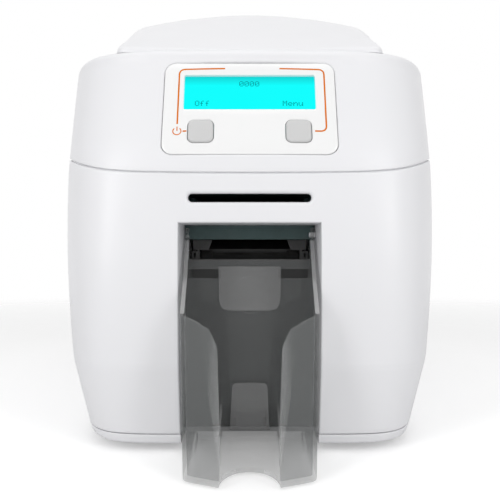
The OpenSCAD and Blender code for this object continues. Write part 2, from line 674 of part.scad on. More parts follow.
module motor_pinion() color("goldenrod") translate([0, platen_y, motor_z]) {
    rod([plate_out + 0.3, gear_x[0] + eps], 0, 0, motor_shaft_r);
    across(gear_x) rotate(90) gear_drawing(motor_teeth, gear_module);
}

film_x = [plate_out + 2.4, plate_out + 7.4];
film_gap = gear_module * (takeup_teeth + film_teeth) / 2 + centre_play;
film_z = takeup[1] - film_gap;
module takeup_gear() color("white") translate([0, takeup[0], takeup[1]]) mirror([1, 0, 0])
    across(film_x) difference() {
        rotate(180 / takeup_teeth + 90) gear_drawing(takeup_teeth, gear_module);
        circle(r = spool_shaft_r + 0.02);
    }
module film_pinion() color("goldenrod") translate([0, takeup[0], film_z]) mirror([1, 0, 0]) {
    across(film_x) rotate(90) gear_drawing(film_teeth, gear_module);
    rod([film_x[1] - eps, film_x[1] + 1.8], 0, 0, 1.5);
}
module film_motor() color([0.18, 0.18, 0.2]) translate([0, takeup[0], film_z]) mirror([1, 0, 0]) {
    difference() {
        rod([film_x[1] + 2, film_x[1] + 30], 0, 0, 14);
        rod([film_x[1] + 1, film_x[1] + 5], 0, 0, 3);
    }
    for (s = [-1, 1]) rod([plate_out + 0.2, film_x[1] + 2.1], s * 11, -4, 2);
}

// --- dye film -----------------------------------------------------------------------------------
film_w = card_w + 6;
film_t = 0.3;
head_z = path_z + 1.6;
module spool(p, r, x_left, x_right) translate([0, p[0], p[1]]) {
    rod([-film_w / 2, film_w / 2], 0, 0, r);
    rod([-x_left, x_right], 0, 0, spool_shaft_r);
    both_sides() rod([film_w / 2 + 0.4, film_w / 2 + 1.8], 0, 0, 10);
    both_sides() rod([film_w / 2 - 0.1, film_w / 2 + 0.5], 0, 0, 6);
}
module supply_spool() color([0.75, 0.3, 0.35]) spool(supply, supply_r, plate_out + 1.2, plate_out + 1.2);
module takeup_spool() color([0.25, 0.3, 0.55]) spool(takeup, takeup_r, film_x[1] + 0.6, plate_out + 1.2);

// Where a line from p touches the underside of a roll of radius r round c; side is 1 or -1
function tangent(c, p, r, side) =
    let (v = p - c, a = atan2(v[1], v[0]) + side * acos(r / norm(v)))
    c + r * [cos(a), sin(a)];
module dye_film() color([0.75, 0.3, 0.35]) {
    near = [platen_y - 16, head_z - 0.3];
    far = [platen_y + 16, head_z - 0.3];
    left = tangent(takeup, near, takeup_r + part_gap, 1);
    right = tangent(supply, far, supply_r + part_gap, -1);
    across([-film_w / 2, film_w / 2]) polygon([left, near, far, right,
        right - [0, film_t], far - [-0.08, film_t], near - [0.08, film_t], left - [0, film_t]]);
}

// --- card magazine --------------------------------------------------------------------------------
magazine_top_z = path_z + magazine_h;
module card_magazine() color([0.2, 0.2, 0.2]) difference() {
    x1 = magazine_in + magazine_wall;
    block([-x1, x1], [magazine_y[0] - magazine_wall, magazine_y[1] + magazine_wall],
        [track_top_z + seat_gap, magazine_top_z]);
    block([-magazine_in, magazine_in], magazine_y, [0, 300]);
    // way out for one card at a time
    block([-magazine_in, magazine_in], [magazine_y[0] - 10, magazine_y[0] + 1],
        [0, path_z + half_card + 0.35]);
    // finger and sight gap
    block([-9, 9], [magazine_y[0] - 10, magazine_y[0] + 1], [path_z + 18, 300]);
}
weight_z = path_z + 0.15;
module card_weight() color("silver") difference() {
    union() {
        block([-magazine_in + 0.5, magazine_in - 0.5], [magazine_y[0] + 0.8, magazine_y[1] - 0.8],
            [weight_z, weight_z + 6]);
        translate([0, (magazine_y[0] + magazine_y[1]) / 2, weight_z]) {
            cylinder(h = 16, r = 5);
            translate([0, 0, 14]) cylinder(h = 4, r = 9);
        }
    }
}

// --- electronics ------------------------------------------------------------------------------------
board = [28, 131];      // width and length
board_x = [plate_out + 6, plate_out + 6 + board[0]];
board_end = rear_y(board_x[1], board_z, wall) - 1.5;
board_y = [board_end - board[1], board_end];
usb_x = board_x[0] + 8;
ethernet_x = board_x[0] + 24;
// Each socket's face is flush with the casing at its outer corner
usb_y = rear_y(usb_x + usb[0] / 2, port_z) - seat_gap;
ethernet_y = rear_y(ethernet_x + ethernet[0] / 2, port_z) - seat_gap;
module chip(x, y, size) translate([board_x[0] + x, board_y[0] + y, board_z + board_t - eps]) cube(size);
module main_board() color("darkgreen") {
    block(board_x, board_y, [board_z, board_z + board_t]);
    for (x = board_x + [4, -4], y = board_y + [5, -12]) translate([x, y, plate_foot_z])
        cylinder(h = board_z - floor_z, r = 2.5);
    chip(6, 30, [14, 14, 2]);
    chip(3, 65, [7, 20, 6]);
    for (y = [11, 21]) translate([board_x[1] - 4, board_y[0] + y, board_z]) cylinder(h = 13, r = 4);
}
// A socket's shell, with its face at the origin and its depth along -Y
module shell_of(size) translate([-size[0] / 2, -size[1], 0]) cube([size[0], size[1], size[2]]);
module usb_port() color("silver") translate([usb_x, usb_y, port_z]) difference() {
    shell_of(usb);
    difference() {
        block([-4.2, 4.2], [-10, 1], [1.6, 9.4]);
        block([-2.8, 2.8], [-11, -1.5], [3.9, 7.1]);
    }
}
module ethernet_port() color("silver") translate([ethernet_x, ethernet_y, port_z]) difference() {
    shell_of(ethernet);
    block([-5.9, 5.9], [-12, 1], [2.6, 10.6]);
    block([-2, 2], [-12, 1], [1, 3]);
}
module power_inlet() color([0.12, 0.12, 0.12])
    translate([inlet_x, rear_y(inlet_x, inlet_z) - 18, inlet_z]) rotate([-90, 0, 0]) {
        difference() {
            union() {
                cylinder(h = 18.6, r = inlet_r);
                translate([0, 0, 6]) cylinder(h = 4, r = inlet_r + 1.8, $fn = 6);
            }
            translate([0, 0, 8]) cylinder(h = 20, r = 3.2);
        }
        translate([0, 0, 7]) cylinder(h = 10, r = 1.25);
    }

module fan_frame() color([0.15, 0.15, 0.15]) translate([fan_x, fan_back_y, rear_wall_z])
    rotate([90, 0, 0]) {
        difference() {
            linear_extrude(fan_t) difference() {
                round_rect(fan_size, fan_size, 3);
                circle(r = fan_size / 2 - 1.2);
                for (sx = [-1, 1], sy = [-1, 1]) translate([16 * sx, 16 * sy]) circle(r = 1.6);
            }
        }
        // motor seat on four struts, on the air's outlet side
        linear_extrude(1.4) difference() {
            union() {
                circle(r = 9);
                for (a = [45:90:315]) rotate(a) translate([9, 0]) square([24, 2], center = true);
            }
            difference() {
                circle(r = 60);
                circle(r = fan_size / 2 - 1);
            }
        }
    }
fan_blades = 7;
module fan_rotor() color([0.1, 0.1, 0.1])
    translate([fan_x, fan_back_y - 1.8, rear_wall_z]) rotate([90, 0, 0]) {
        cylinder(h = 7.4, r = 8.4);
        for (i = [0:fan_blades - 1]) rotate(i * 360 / fan_blades) intersection() {
            translate([7, 0, 3.7]) rotate([38, 0, 0]) translate([0, -4.6, -0.45]) cube([11, 9.2, 0.9]);
            cylinder(h = 7.4, r = fan_size / 2 - 2.2);
        }
    }

// --- lid -----------------------------------------------------------------------------------------
edge_r = 6;
shoulder_z = roof_z - edge_r;
function lid_side(share, inset) =
    let (flat = ring_at(seam_z))
    [for (i = [0:len(flat) - 1])
        let (base = seam_at(flat[i][1]) + seam_gap / 2, z = base + share * (shoulder_z - base),
             p = ring_at(z, inset)[i]) [p[0], p[1], z]];
// The rounded edge: turn 0 is the shoulder, turn 90 the roof
function lid_edge(turn, inset) =
    let (r = edge_r - inset, e = inset + r * (1 - cos(turn)))
    at_height(ring_at(shoulder_z, e), shoulder_z + r * sin(turn));

hump_y = front_at(shoulder_z) + edge_r + 0.6;
hump_back_y = body_d - 8;
hump_mid_y = 205;
hump_lip = 0.8;
hump_slope = 0.6;
crown = 0.002;   // drop of the crown per squared millimetre off the middle
function soft_min(a, b, k) = let (h = max(0, min(1, 0.5 + 0.5 * (b - a) / k)))
    b + (a - b) * h - k * h * (1 - h);
function ridge(y) = soft_min(roof_z + hump_lip + hump_slope * (y - hump_y), hump_z, 30);
function hump_at(x, y) = ridge(y) - crown * x * x * (ridge(y) - roof_z) / (hump_z - roof_z);
function hump_ring(inset) = outline(hump_w / 2 - inset, hump_y + inset, hump_back_y - inset,
    5.5, 60, 9, hump_mid_y);
// The hump's rounded edge: turn 0 is the side wall's top, turn 90 the crown
function hump_edge(turn, inset) =
    [for (i = [0:len(hump_ring(0)) - 1])
        let (q = hump_ring(0)[i], h = hump_at(q[0], q[1]),
             r = max(0.3, min(hump_edge_r, 0.7 * (h - roof_z)) - inset),
             p = hump_ring(inset + r * (1 - cos(turn)))[i])
        [p[0], p[1], hump_at(p[0], p[1]) - inset - r * (1 - sin(turn))]];
function hump_crown(share, inset) =
    [for (p = hump_edge(90, inset))
        let (x = p[0] * share, y = hump_mid_y + (p[1] - hump_mid_y) * share)
        [x, y, hump_at(x, y) - inset]];

side_shares = [0, 0.06, 0.12, 0.21, 1];
crown_shares = [0.88, 0.76, 0.64, 0.5, 0.3, 0.12];
inner_shares = [0.8, 0.6, 0.4, 0.2];
function lid_loops(inset, shares) = concat(
    [for (s = side_shares) lid_side(s, inset)],
    [for (t = [30, 60, 90]) lid_edge(t, inset)],
    [at_height(hump_ring(inset), roof_z - inset)],
    [for (t = [0, 30, 60, 90]) hump_edge(t, inset)],
    [for (s = shares) hump_crown(s, inset)]);
module lid_skin() closed_skin(
    concat(reversed(lid_loops(wall, inner_shares)), lid_loops(0, crown_shares)), hump_mid_y);

// The magazine's door takes in the rear edge of the hump, down to its hinge
door_y = magazine_y[0] - 8;
door_bottom_z = hump_z - 18;
door_gap = 0.6;
module door_region(w, y, z) block([-w / 2, w / 2], [y, body_d + 20], [z, hump_z + 20]);
door_hinge_r = 2.6;
door_pin_r = 1.2;
door_hinge_y = hump_back_y + door_hinge_r + 0.4;
door_hinge_z = door_bottom_z - 3;
door_leaf_x = [[16, 22], [8, 15.6]];  // door's knuckles, then the lid's

lid_screw_in = 17;      // in from the widest point
lid_screw_ends = [95, 65];  // from the front and from the back
module lid_screw_spots() for (y = [lid_screw_ends[0], body_d - lid_screw_ends[1]])
    both_sides() translate([body_w / 2 - lid_screw_in, y, 0]) children();
liner_z = [roof_z - 26, roof_z - 22];

module lid_shell() color("white") difference() {
    union() {
        difference() {
            lid_skin();
            door_region(door_w, door_y, door_bottom_z);
            on_panel([-8, 3]) round_rect(panel_w + 2 * part_gap, panel_h + 2 * part_gap, panel_r + part_gap);
        }
        lid_screw_spots() translate([0, 0, liner_z[1] + seat_gap])
            cylinder(h = roof_z - wall / 2 - liner_z[1] - seat_gap, r = 4);
        both_sides() hinge_knuckle(hinge_x - leaf_w / 2, hinge_z + 1, hinge_z + 8);
        both_sides() {
            rod(door_leaf_x[1], door_hinge_y, door_hinge_z, door_hinge_r);
            block(door_leaf_x[1], [hump_back_y - 1, door_hinge_y], [door_hinge_z - 6, door_hinge_z]);
        }
    }
    lid_screw_spots() cylinder(h = liner_z[1] + 12, r = screw_r + run_fit);
    both_sides() rod([hinge_x - 20, hinge_x + 20], hinge_y, hinge_z, hinge_pin_r + run_fit);
    rod([-40, 40], door_hinge_y, door_hinge_z, door_pin_r + run_fit);
}

module hopper_door() color("white") difference() {
    union() {
        intersection() {
            lid_skin();
            door_region(door_w - 2 * door_gap, door_y + door_gap, door_bottom_z + door_gap);
        }
        both_sides() {
            rod(door_leaf_x[0], door_hinge_y, door_hinge_z, door_hinge_r);
            block(door_leaf_x[0], [hump_back_y + 0.4, door_hinge_y + door_hinge_r], span(door_hinge_z, 0, 6));
            block(door_leaf_x[0], [hump_back_y - 1, door_hinge_y + door_hinge_r],
                span(door_hinge_z, 3 + door_gap, 6));
        }
    }
    rod([-40, 40], door_hinge_y, door_hinge_z, door_pin_r + run_fit);
}
module door_pin() color("silver")
    rod([-door_leaf_x[0][1], door_leaf_x[0][1]], door_hinge_y, door_hinge_z, door_pin_r);

// --- inside the lid ----------------------------------------------------------------------------------
liner_rib_x = hump_w / 2 - 17.5;
magazine_hole = [magazine_in + magazine_wall + 3, magazine_y[0] - magazine_wall - 7,
    magazine_y[1] + magazine_wall + 6];
module lid_liner() color([0.85, 0.85, 0.85]) difference() {
    union() {
        translate([0, 0, liner_z[0]]) linear_extrude(liner_z[1] - liner_z[0])
            polygon(ring_at(liner_z[1], wall + 0.6));
        both_sides() hanger();
        // stiffening ribs
        both_sides() block(span(liner_rib_x, 0, 2), [hump_y + 37, body_d - 20], [liner_z[1] - eps, liner_z[1] + 8]);
        block([-liner_rib_x - 1, liner_rib_x + 1], span(magazine_y0, -18, -16), [liner_z[1] - eps, liner_z[1] + 8]);
    }
    block([-magazine_hole[0], magazine_hole[0]], [magazine_hole[1], magazine_hole[2]], [0, 300]);
    block([-panel_w / 2 - 6, panel_w / 2 + 6], [0, 56], [liner_z[0] - 1, liner_z[1] + 1]);
    lid_screw_spots() cylinder(h = 300, r = screw_r + 0.3);
    rod([-40, 40], head_pivot[0], head_pivot[1], head_pin_r + run_fit);
}
module lid_screws() color("silver") lid_screw_spots() {
    translate([0, 0, liner_z[0] - 1.8]) cylinder(h = 1.6, r = head_r);
    translate([0, 0, liner_z[0] - 0.3]) cylinder(h = 12, r = screw_r);
}

head_pivot = [platen_y + 30, path_z + 30];
head_pin_r = 2;
hanger_x = span(film_w / 2, 1, 3);
module hanger() across(hanger_x) {
    translate(head_pivot) circle(r = 5);
    translate([head_pivot[0] - 5, head_pivot[1]]) square([10, liner_z[0] + 1 - head_pivot[1]]);
    translate([head_pivot[0] - 16, liner_z[0] - 8]) square([32, 9]);
}
module head_pivot_pin() color("silver") rod([-hanger_x[1], hanger_x[1]], head_pivot[0], head_pivot[1], head_pin_r);
module head_arm() color("silver") difference() {
    union() {
        both_sides() across(span(film_w / 2, -2, 0.4)) polygon([[head_pivot[0] - 6, head_pivot[1] + 5],
            [head_pivot[0] + 5, head_pivot[1] + 3], [head_pivot[0] + 5, head_pivot[1] - 4],
            [head_pivot[0] - 10, head_pivot[1] - 16], [platen_y - 9, head_z + 12],
            [platen_y - 9, head_z + 19], [platen_y + 6, head_z + 22]]);
        block([-film_w / 2 - 0.4, film_w / 2 + 0.4], [platen_y - 9, platen_y + 9], [head_z + 13, head_z + 15]);
        both_sides() rod(span(film_w / 2, -6, 0.4), head_pivot[0], head_pivot[1], head_pin_r + 2);
    }
    rod([-40, 40], head_pivot[0], head_pivot[1], head_pin_r + run_fit);
}
module print_head() color([0.55, 0.55, 0.6]) {
    // ceramic strip with its heater line, under a finned sink
    across([-card_w / 2 - 1, card_w / 2 + 1]) polygon([[platen_y - 8, head_z + 2],
        [platen_y - 2.5, head_z + 0.8], [platen_y - 0.8, head_z], [platen_y + 0.8, head_z],
        [platen_y + 2.5, head_z + 0.8], [platen_y + 8, head_z + 2], [platen_y + 8, head_z + 5],
        [platen_y - 8, head_z + 5]]);
    for (y = [-8:4:8]) block([-card_w / 2, card_w / 2], span(platen_y + y, -0.8, 0.8), [head_z + 4.5, head_z + 12.8]);
}

// --- control panel -------------------------------------------------------------------------------------
panel_r = 6;
panel_z = seam_z + 10;  // bottom edge of the panel
panel_mid = panel_z + panel_h / 2 * cos(lean);
// Puts a drawing on the sloped face: X to the right, Y up the slope from the panel's middle
module slope() translate([0, face_y(0, panel_mid), panel_mid]) rotate([90 - lean, 0, 0]) children();
module on_panel(n) slope() translate([0, 0, n[0]]) linear_extrude(n[1] - n[0]) children();
// The face's own slab between two depths behind it, across the panel
slab_cols = 12;
slab_rows = 4;
module face_slab(d) {
    w = panel_w / 2 + 6;
    z0 = panel_z - 6;
    z1 = panel_z + panel_h * cos(lean) + 3.5;
    xs = [for (i = [0:slab_cols]) -w + 2 * w * i / slab_cols];
    zs = [for (k = [0:slab_rows]) z0 + (z1 - z0) * k / slab_rows];
    n = slab_cols + 1;
    sheet = n * (slab_rows + 1);
    points = [for (off = d, z = zs, x = xs) [x, face_y(x, z) + off, z]];
    function cell(i, k) = k * n + i;
    quads = [for (k = [0:slab_rows - 1], i = [0:slab_cols - 1])
        [cell(i, k), cell(i + 1, k), cell(i + 1, k + 1), cell(i, k + 1)]];
    rim = concat([for (i = [0:slab_cols]) cell(i, 0)],
        [for (k = [1:slab_rows]) cell(slab_cols, k)],
        [for (i = [slab_cols - 1:-1:0]) cell(i, slab_rows)],
        [for (k = [slab_rows - 1:-1:1]) cell(0, k)]);
    m = len(rim);
    faces = concat(
        [for (q = quads) each [[q[0], q[2], q[1]], [q[0], q[3], q[2]]]],
        [for (q = quads) each [[q[0] + sheet, q[1] + sheet, q[2] + sheet],
            [q[0] + sheet, q[2] + sheet, q[3] + sheet]]],
        [for (i = [0:m - 1]) let (a = rim[i], b = rim[(i + 1) % m])
            each [[a, b, b + sheet], [a, b + sheet, a + sheet]]]);
    polyhedron(points, faces);
}

button_x = 25;
button_v = 13 - panel_h / 2;
window_v = 37 - panel_h / 2;
button_r = 3;
flange_d = wall + 0.4;
module button_places(r) for (s = [-1, 1]) translate([s * button_x, button_v])
    round_rect(button_size + 2 * r, button_size + 2 * r, button_r + r);
module control_panel() color("white") difference() {
    union() {
        intersection() {
            face_slab([0, flange_d + 1]);
            on_panel([-12, 12]) round_rect(panel_w, panel_h, panel_r);
        }
        intersection() {
            face_slab([flange_d, flange_d + 1.4]);
            on_panel([-12, 12]) round_rect(panel_w + 4, panel_h + 3, panel_r + 1);
        }
    }
    on_panel([-12, 12]) translate([0, window_v]) square([window_w, window_h], center = true);
    on_panel([-12, 12]) button_places(part_gap);
}
lcd_recess = 2;
module display() color("cyan") {
    on_panel([-3.4, -lcd_recess]) translate([0, window_v])
        square([window_w - 2 * part_gap, window_h - 2 * part_gap], center = true);
    on_panel([-12, -flange_d - 2.6]) translate([0, window_v])
        square([window_w + 8, window_h + 8], center = true);
    on_panel([-flange_d - 2.7, -3.3]) translate([0, window_v])
        square([window_w - 2 * part_gap, window_h - 2 * part_gap], center = true);
}
button_proud = 0.9;
module push_button(s) color([0.82, 0.82, 0.82]) {
    on_panel([-7, button_proud]) translate([s * button_x, button_v])
        round_rect(button_size, button_size, button_r);
    on_panel([-9.2, -6.6]) translate([s * button_x, button_v])
        round_rect(button_size + 2.4, button_size + 2.4, button_r);
}
module left_button() push_button(-1);
module right_button() push_button(1);
board_n = -13.6;
module panel_board() color("darkgreen") {
    on_panel([board_n - 1.6, board_n]) square([panel_w - 4, panel_h - 6], center = true);
    for (s = [-1, 1]) on_panel([board_n - eps, -9.2 - button_travel - 0.4])
        translate([s * button_x, button_v]) square(6, center = true);
    // posts behind the panel's flange
    for (sx = [-1, 1], sy = [-1, 1]) on_panel([board_n - eps, -flange_d - 2.6])
        translate([sx * (panel_w / 2 - 4), sy * (panel_h / 2 - 5)]) circle(r = 1.8);
}

// --- stacker ----------------------------------------------------------------------------------------------
stacker_z = 1;           // underside above the table
stacker_top_z = 116;
stacker_lean = 0.2;      // the front wall's lean
stacker_taper = 0.037;   // each side wall's taper
stacker_back_y = recess_y - 2;
stacker_corner = [7, 6.5];  // radius of the front corners, and how far the middle stands out
stacker_rim = [73, 68];  // height of the front rim at the corner and at the gap
module stacker_plan(z) hull() {
    half = stacker_w / 2 - (peg_z - z) * stacker_taper;
    y0 = -stacker_reach + (z - stacker_z) * stacker_lean;
    for (s = [-1, 1]) {
        translate([s * (half - stacker_corner[0]), y0 + stacker_corner[0] + stacker_corner[1]])
            circle(r = stacker_corner[0], $fn = 32);
        translate([s * gap_half[0], y0 + 0.5]) circle(r = 0.5, $fn = 8);
    }
    translate([-half, stacker_back_y - 4]) square([2 * half, 4]);
}
module stacker_level(z, inset) translate([0, 0, z]) linear_extrude(eps)
    offset(delta = -inset) stacker_plan(z);
module stacker_body(z0, inset) hull() {
    stacker_level(z0, inset);
    stacker_level(stacker_top_z, inset);
}
// What is cut off above the side walls, seen from the side
module stacker_skyline() polygon([[-80, 300], [-80, stacker_rim[0]],
    [-stacker_reach + 16, stacker_rim[0] + 1.5], [peg_y - 4, peg_z - 3.2], [peg_y - 4, peg_z + 3.6],
    [peg_y + 2.9, peg_z + 3.6], [peg_y + 2.9, mouth_z[1] - 4], [80, mouth_z[1] - 4], [80, 300]]);
gap_half = [12.4, 14.7];
module front_gap() polygon([[-gap_half[0], stacker_z + stacker_wall],
    [gap_half[0], stacker_z + stacker_wall], [gap_half[1], stacker_rim[1] - 8],
    [gap_half[1] + 4, stacker_rim[1]], [24, stacker_rim[1] + 2], [31, stacker_rim[0]], [60, stacker_rim[0] + 1],
    [60, 300], [-60, 300], [-60, stacker_rim[0] + 1], [-31, stacker_rim[0]], [-24, stacker_rim[1] + 2],
    [-gap_half[1] - 4, stacker_rim[1]], [-gap_half[1], stacker_rim[1] - 8]]);
back_top_z = 98.8;
module output_stacker() color([0.45, 0.45, 0.45, 0.6]) difference() {
    union() {
        difference() {
            stacker_body(stacker_z, 0);
            stacker_body(stacker_z + stacker_wall, stacker_wall);
            across([-60, 60]) stacker_skyline();
            along([-80, -stacker_reach + 20]) front_gap();
            block([-60, 60], [stacker_back_y - 7, 60], [back_top_z, peg_z - 8]);
            block([-stacker_w / 2 + stacker_wall + 0.4, stacker_w / 2 - stacker_wall - 0.4],
                [stacker_back_y - 12, 60], [back_top_z, 300]);
            // finger notch in the floor
            translate([0, -stacker_reach, 0]) linear_extrude(10) scale([gap_half[0] + 1, 22]) circle(r = 1);
        }
        // back wall fittings: tab, boss and two ribs
        along([stacker_back_y - stacker_wall - 1, stacker_back_y - 1]) polygon([[-17, 95], [-16.6, 76],
            [-15, 72], [-11, 71], [11, 71], [15, 72], [16.6, 76], [17, 95]]);
        along([stacker_back_y - stacker_wall - 2, stacker_back_y - 1]) polygon([[-9.7, 30], [-8.5, 31.7],
            [8.5, 31.7], [9.7, 30], [11, 6.4], [10, 5.9], [-10, 5.9], [-11, 6.4]]);
        both_sides() across([15, 16]) polygon([[stacker_back_y - 1, stacker_z + 1],
            [-24, stacker_z + 1], [-24, 4.2], [10, 6], [stacker_back_y - 12, 17], [stacker_back_y - 1, 20]]);
        both_sides() block([27.4, 29.4], [2, 25], [stacker_z + 1, 7]);
    }
    both_sides() block([15.5, stacker_w / 2 - 2.6], [stacker_back_y - 5, 60], [88.6, 93.6]);
    both_sides() block([7.3, 8.9], [stacker_back_y - 6, 60], [7, 13]);
    // hooks, open to the back, that hang on the pegs
    across([-60, 60]) union() {
        translate([peg_y, peg_z]) circle(r = peg_r + 0.15);
        translate([peg_y, peg_z - peg_r - 0.15]) square([40, 2 * peg_r + 0.3]);
    }
}

// --- assembly -----------------------------------------------------------------------------------------------
front_y = -(hinge_y + hinge_r - stacker_reach) / 2;
module place() translate([0, front_y, 0]) children();
place() base_pan();
place() rubber_feet();
place() main_case();
place() case_screws();
place() stacker_seat();
place() exit_bezel();
place() slot_guide();
place() left_side_plate();
place() right_side_plate();
place() card_track();
place() exit_chute();
place() exit_gate();
place() roller_bushes();
place() platen_roller();
place() platen_gear();
place() front_feed_roller();
place() mid_feed_roller();
place() pick_roller();
place() exit_roller();
place() front_pinch_roller();
place() mid_pinch_roller();
place() cleaning_roller();
place() drive_belts();
place() drive_motor();
place() motor_pinion();
place() card_magazine();
place() card_weight();
place() supply_spool();
place() takeup_spool();
place() takeup_gear();
place() film_motor();
place() film_pinion();
place() dye_film();
place() main_board();
place() power_inlet();
place() usb_port();
place() ethernet_port();
place() fan_frame();
place() fan_rotor();
place() lid_shell();
place() lid_liner();
place() lid_screws();
place() head_pivot_pin();
place() head_arm();
place() print_head();
place() control_panel();
place() display();
place() left_button();
place() right_button();
place() panel_board();
place() hinge_pins();
place() hopper_door();
place() door_pin();
place() output_stacker();
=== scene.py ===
# %% [markdown]
# # A card printer, dressed around its working model
# The construction comes first: every roller, gear and hinge of this desktop card printer is already
# a solid at its real size, and it arrives here as a fixed frame. This notebook gives it its looks.
# The moulded shells that people see are modelled again with finer surfaces and softened edges, the
# print on the control panel is laid on, and every piece gets a material of its own. All lengths
# below are in millimetres until a mesh is made.

# %% Load the frame
import json
import math

import bmesh
import bpy
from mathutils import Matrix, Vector
from mathutils.geometry import delaunay_2d_cdt


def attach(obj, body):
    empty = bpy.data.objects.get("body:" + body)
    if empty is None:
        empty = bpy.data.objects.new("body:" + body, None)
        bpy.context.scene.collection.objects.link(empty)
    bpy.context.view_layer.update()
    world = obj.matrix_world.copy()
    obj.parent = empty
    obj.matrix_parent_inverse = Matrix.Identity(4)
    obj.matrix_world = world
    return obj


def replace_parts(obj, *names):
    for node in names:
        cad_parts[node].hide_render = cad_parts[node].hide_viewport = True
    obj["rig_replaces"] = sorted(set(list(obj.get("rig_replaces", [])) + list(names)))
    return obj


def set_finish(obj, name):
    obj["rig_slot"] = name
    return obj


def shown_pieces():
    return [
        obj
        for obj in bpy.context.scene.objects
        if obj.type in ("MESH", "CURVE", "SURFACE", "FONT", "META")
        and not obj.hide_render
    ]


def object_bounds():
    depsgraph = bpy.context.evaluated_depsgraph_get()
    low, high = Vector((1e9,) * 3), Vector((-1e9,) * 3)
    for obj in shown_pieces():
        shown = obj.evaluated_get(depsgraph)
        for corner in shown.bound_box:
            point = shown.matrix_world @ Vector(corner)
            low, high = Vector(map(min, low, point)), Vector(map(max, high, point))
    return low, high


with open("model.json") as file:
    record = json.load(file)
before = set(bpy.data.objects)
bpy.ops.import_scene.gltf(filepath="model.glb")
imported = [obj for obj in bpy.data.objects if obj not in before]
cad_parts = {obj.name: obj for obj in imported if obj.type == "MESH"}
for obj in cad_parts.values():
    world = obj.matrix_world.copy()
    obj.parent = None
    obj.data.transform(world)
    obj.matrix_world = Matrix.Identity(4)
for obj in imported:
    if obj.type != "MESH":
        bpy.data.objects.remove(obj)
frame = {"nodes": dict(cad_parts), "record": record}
cad_low, cad_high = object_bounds()
MM = 0.001

# %% [markdown]
# ## Where things are
# The printer is easiest to describe by depth behind its front face, so each point is written as (x,
# depth, height). One number, worked out from the frame, slides that description back to the frame's
# own origin: the stacker stands out a known distance in front of the face, and it is the foremost
# thing on the printer.

# %% Depth behind the front face
STACKER_REACH = 43.51
face_shift = cad_low.y / MM + STACKER_REACH


def place(point):
    """(x, depth, height) in millimetres to the frame's metres."""
    return Vector((point[0] * MM, (point[1] + face_shift) * MM, point[2] * MM))


print("the front face lies at y =", round(face_shift, 2), "mm")

# %% [markdown]
# ## The camera
# A product photograph like this one is taken from low down and close by, straight at the front. A
# camera 346 mm in front of the face and 104 mm above the table gives the same perspective: the
# stacker looms large and the hump's top is seen edge-on. The field of view follows from a 700 pixel
# focal length in a 500 pixel frame.

# %% Camera
FOCAL_PX = 700.0
FRAME_PX = 500.0
CAMERA_AHEAD = 346.35
CAMERA_HEIGHT = 104.0
CAMERA_ASIDE = 0.15

camera_data = bpy.data.cameras.new("camera")
camera_data.sensor_fit = "HORIZONTAL"
camera_data.angle = 2 * math.atan(FRAME_PX / 2 / FOCAL_PX)
camera_data.clip_start = 0.01
camera = bpy.data.objects.new("camera", camera_data)
bpy.context.scene.collection.objects.link(camera)
camera.location = place((CAMERA_ASIDE, -CAMERA_AHEAD, CAMERA_HEIGHT))
camera.rotation_euler = (math.radians(90), 0, 0)
bpy.context.scene.camera = camera
print("field of view:", round(math.degrees(camera_data.angle), 1), "degrees")

# %% [markdown]
# ## Building blocks for surfaces
# A moulded shell is a skin with an even wall. The helpers below turn rows of points into a mesh,
# share the points where patches meet, and soften what is smooth while they keep real edges sharp. A
# mesh that is written as rows stays easy to follow: each row is one turn around the casing.

# %% Mesh helpers
SMOOTH_ANGLE = math.radians(38)


class Surface:
    """Points and faces that are collected piece by piece; a point is shared when it is met again."""

    def __init__(self):
        self.points = []
        self.faces = []
        self.known = {}

    def add(self, point):
        key = tuple(round(c, 4) + 0.0 for c in point)
        if key not in self.known:
            self.known[key] = len(self.points)
            self.points.append(tuple(point))
        return self.known[key]

    def face(self, *corners):
        ids = []
        for c in corners:
            i = self.add(c)
            if i not in ids:
                ids.append(i)
        if len(ids) > 2:
            self.faces.append(ids)

    def strip(self, row_a, row_b, closed=True):
        """Quads between two rows of as many points."""
        last = len(row_a) if closed else len(row_a) - 1
        for i in range(last):
            j = (i + 1) % len(row_a)
            self.face(row_a[i], row_a[j], row_b[j], row_b[i])

    def strips(self, rows, closed=True):
        for a, b in zip(rows, rows[1:]):
            self.strip(a, b, closed)

    def fan(self, row, middle):
        for i in range(len(row)):
            self.face(row[i], row[(i + 1) % len(row)], middle)

    def build(self, name, body, slot, replaces=(), angle=SMOOTH_ANGLE):
        mesh = bpy.data.meshes.new(name)
        mesh.from_pydata([place(p) for p in self.points], [], self.faces)
        obj = bpy.data.objects.new(name, mesh)
        bpy.context.scene.collection.objects.link(obj)
        tidy_normals(obj)
        soften(obj, angle)
        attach(obj, body)
        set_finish(obj, slot)
        if replaces:
            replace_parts(obj, *replaces)
        report(obj)
        return obj


def tidy_normals(obj):
    """Turns every face of a closed mesh outwards."""
    bm = bmesh.new()
    bm.from_mesh(obj.data)
    bmesh.ops.recalc_face_normals(bm, faces=bm.faces)
    bm.to_mesh(obj.data)
    bm.free()


def soften(obj, angle=SMOOTH_ANGLE):
    obj.data.shade_smooth()
    obj.data.set_sharp_from_angle(angle=angle)


def report(obj):
    """Prints a mesh's size and how many of its edges lack two faces: none, on a closed skin."""
    bm = bmesh.new()
    bm.from_mesh(obj.data)
    loose = sum(1 for e in bm.edges if len(e.link_faces) != 2)
    bm.free()
    print(f"{obj.name}: {len(obj.data.polygons)} faces, {loose} open edges")


def steps(low, high, count):
    """count + 1 even values from low to high."""
    return [low + (high - low) * i / count for i in range(count + 1)]


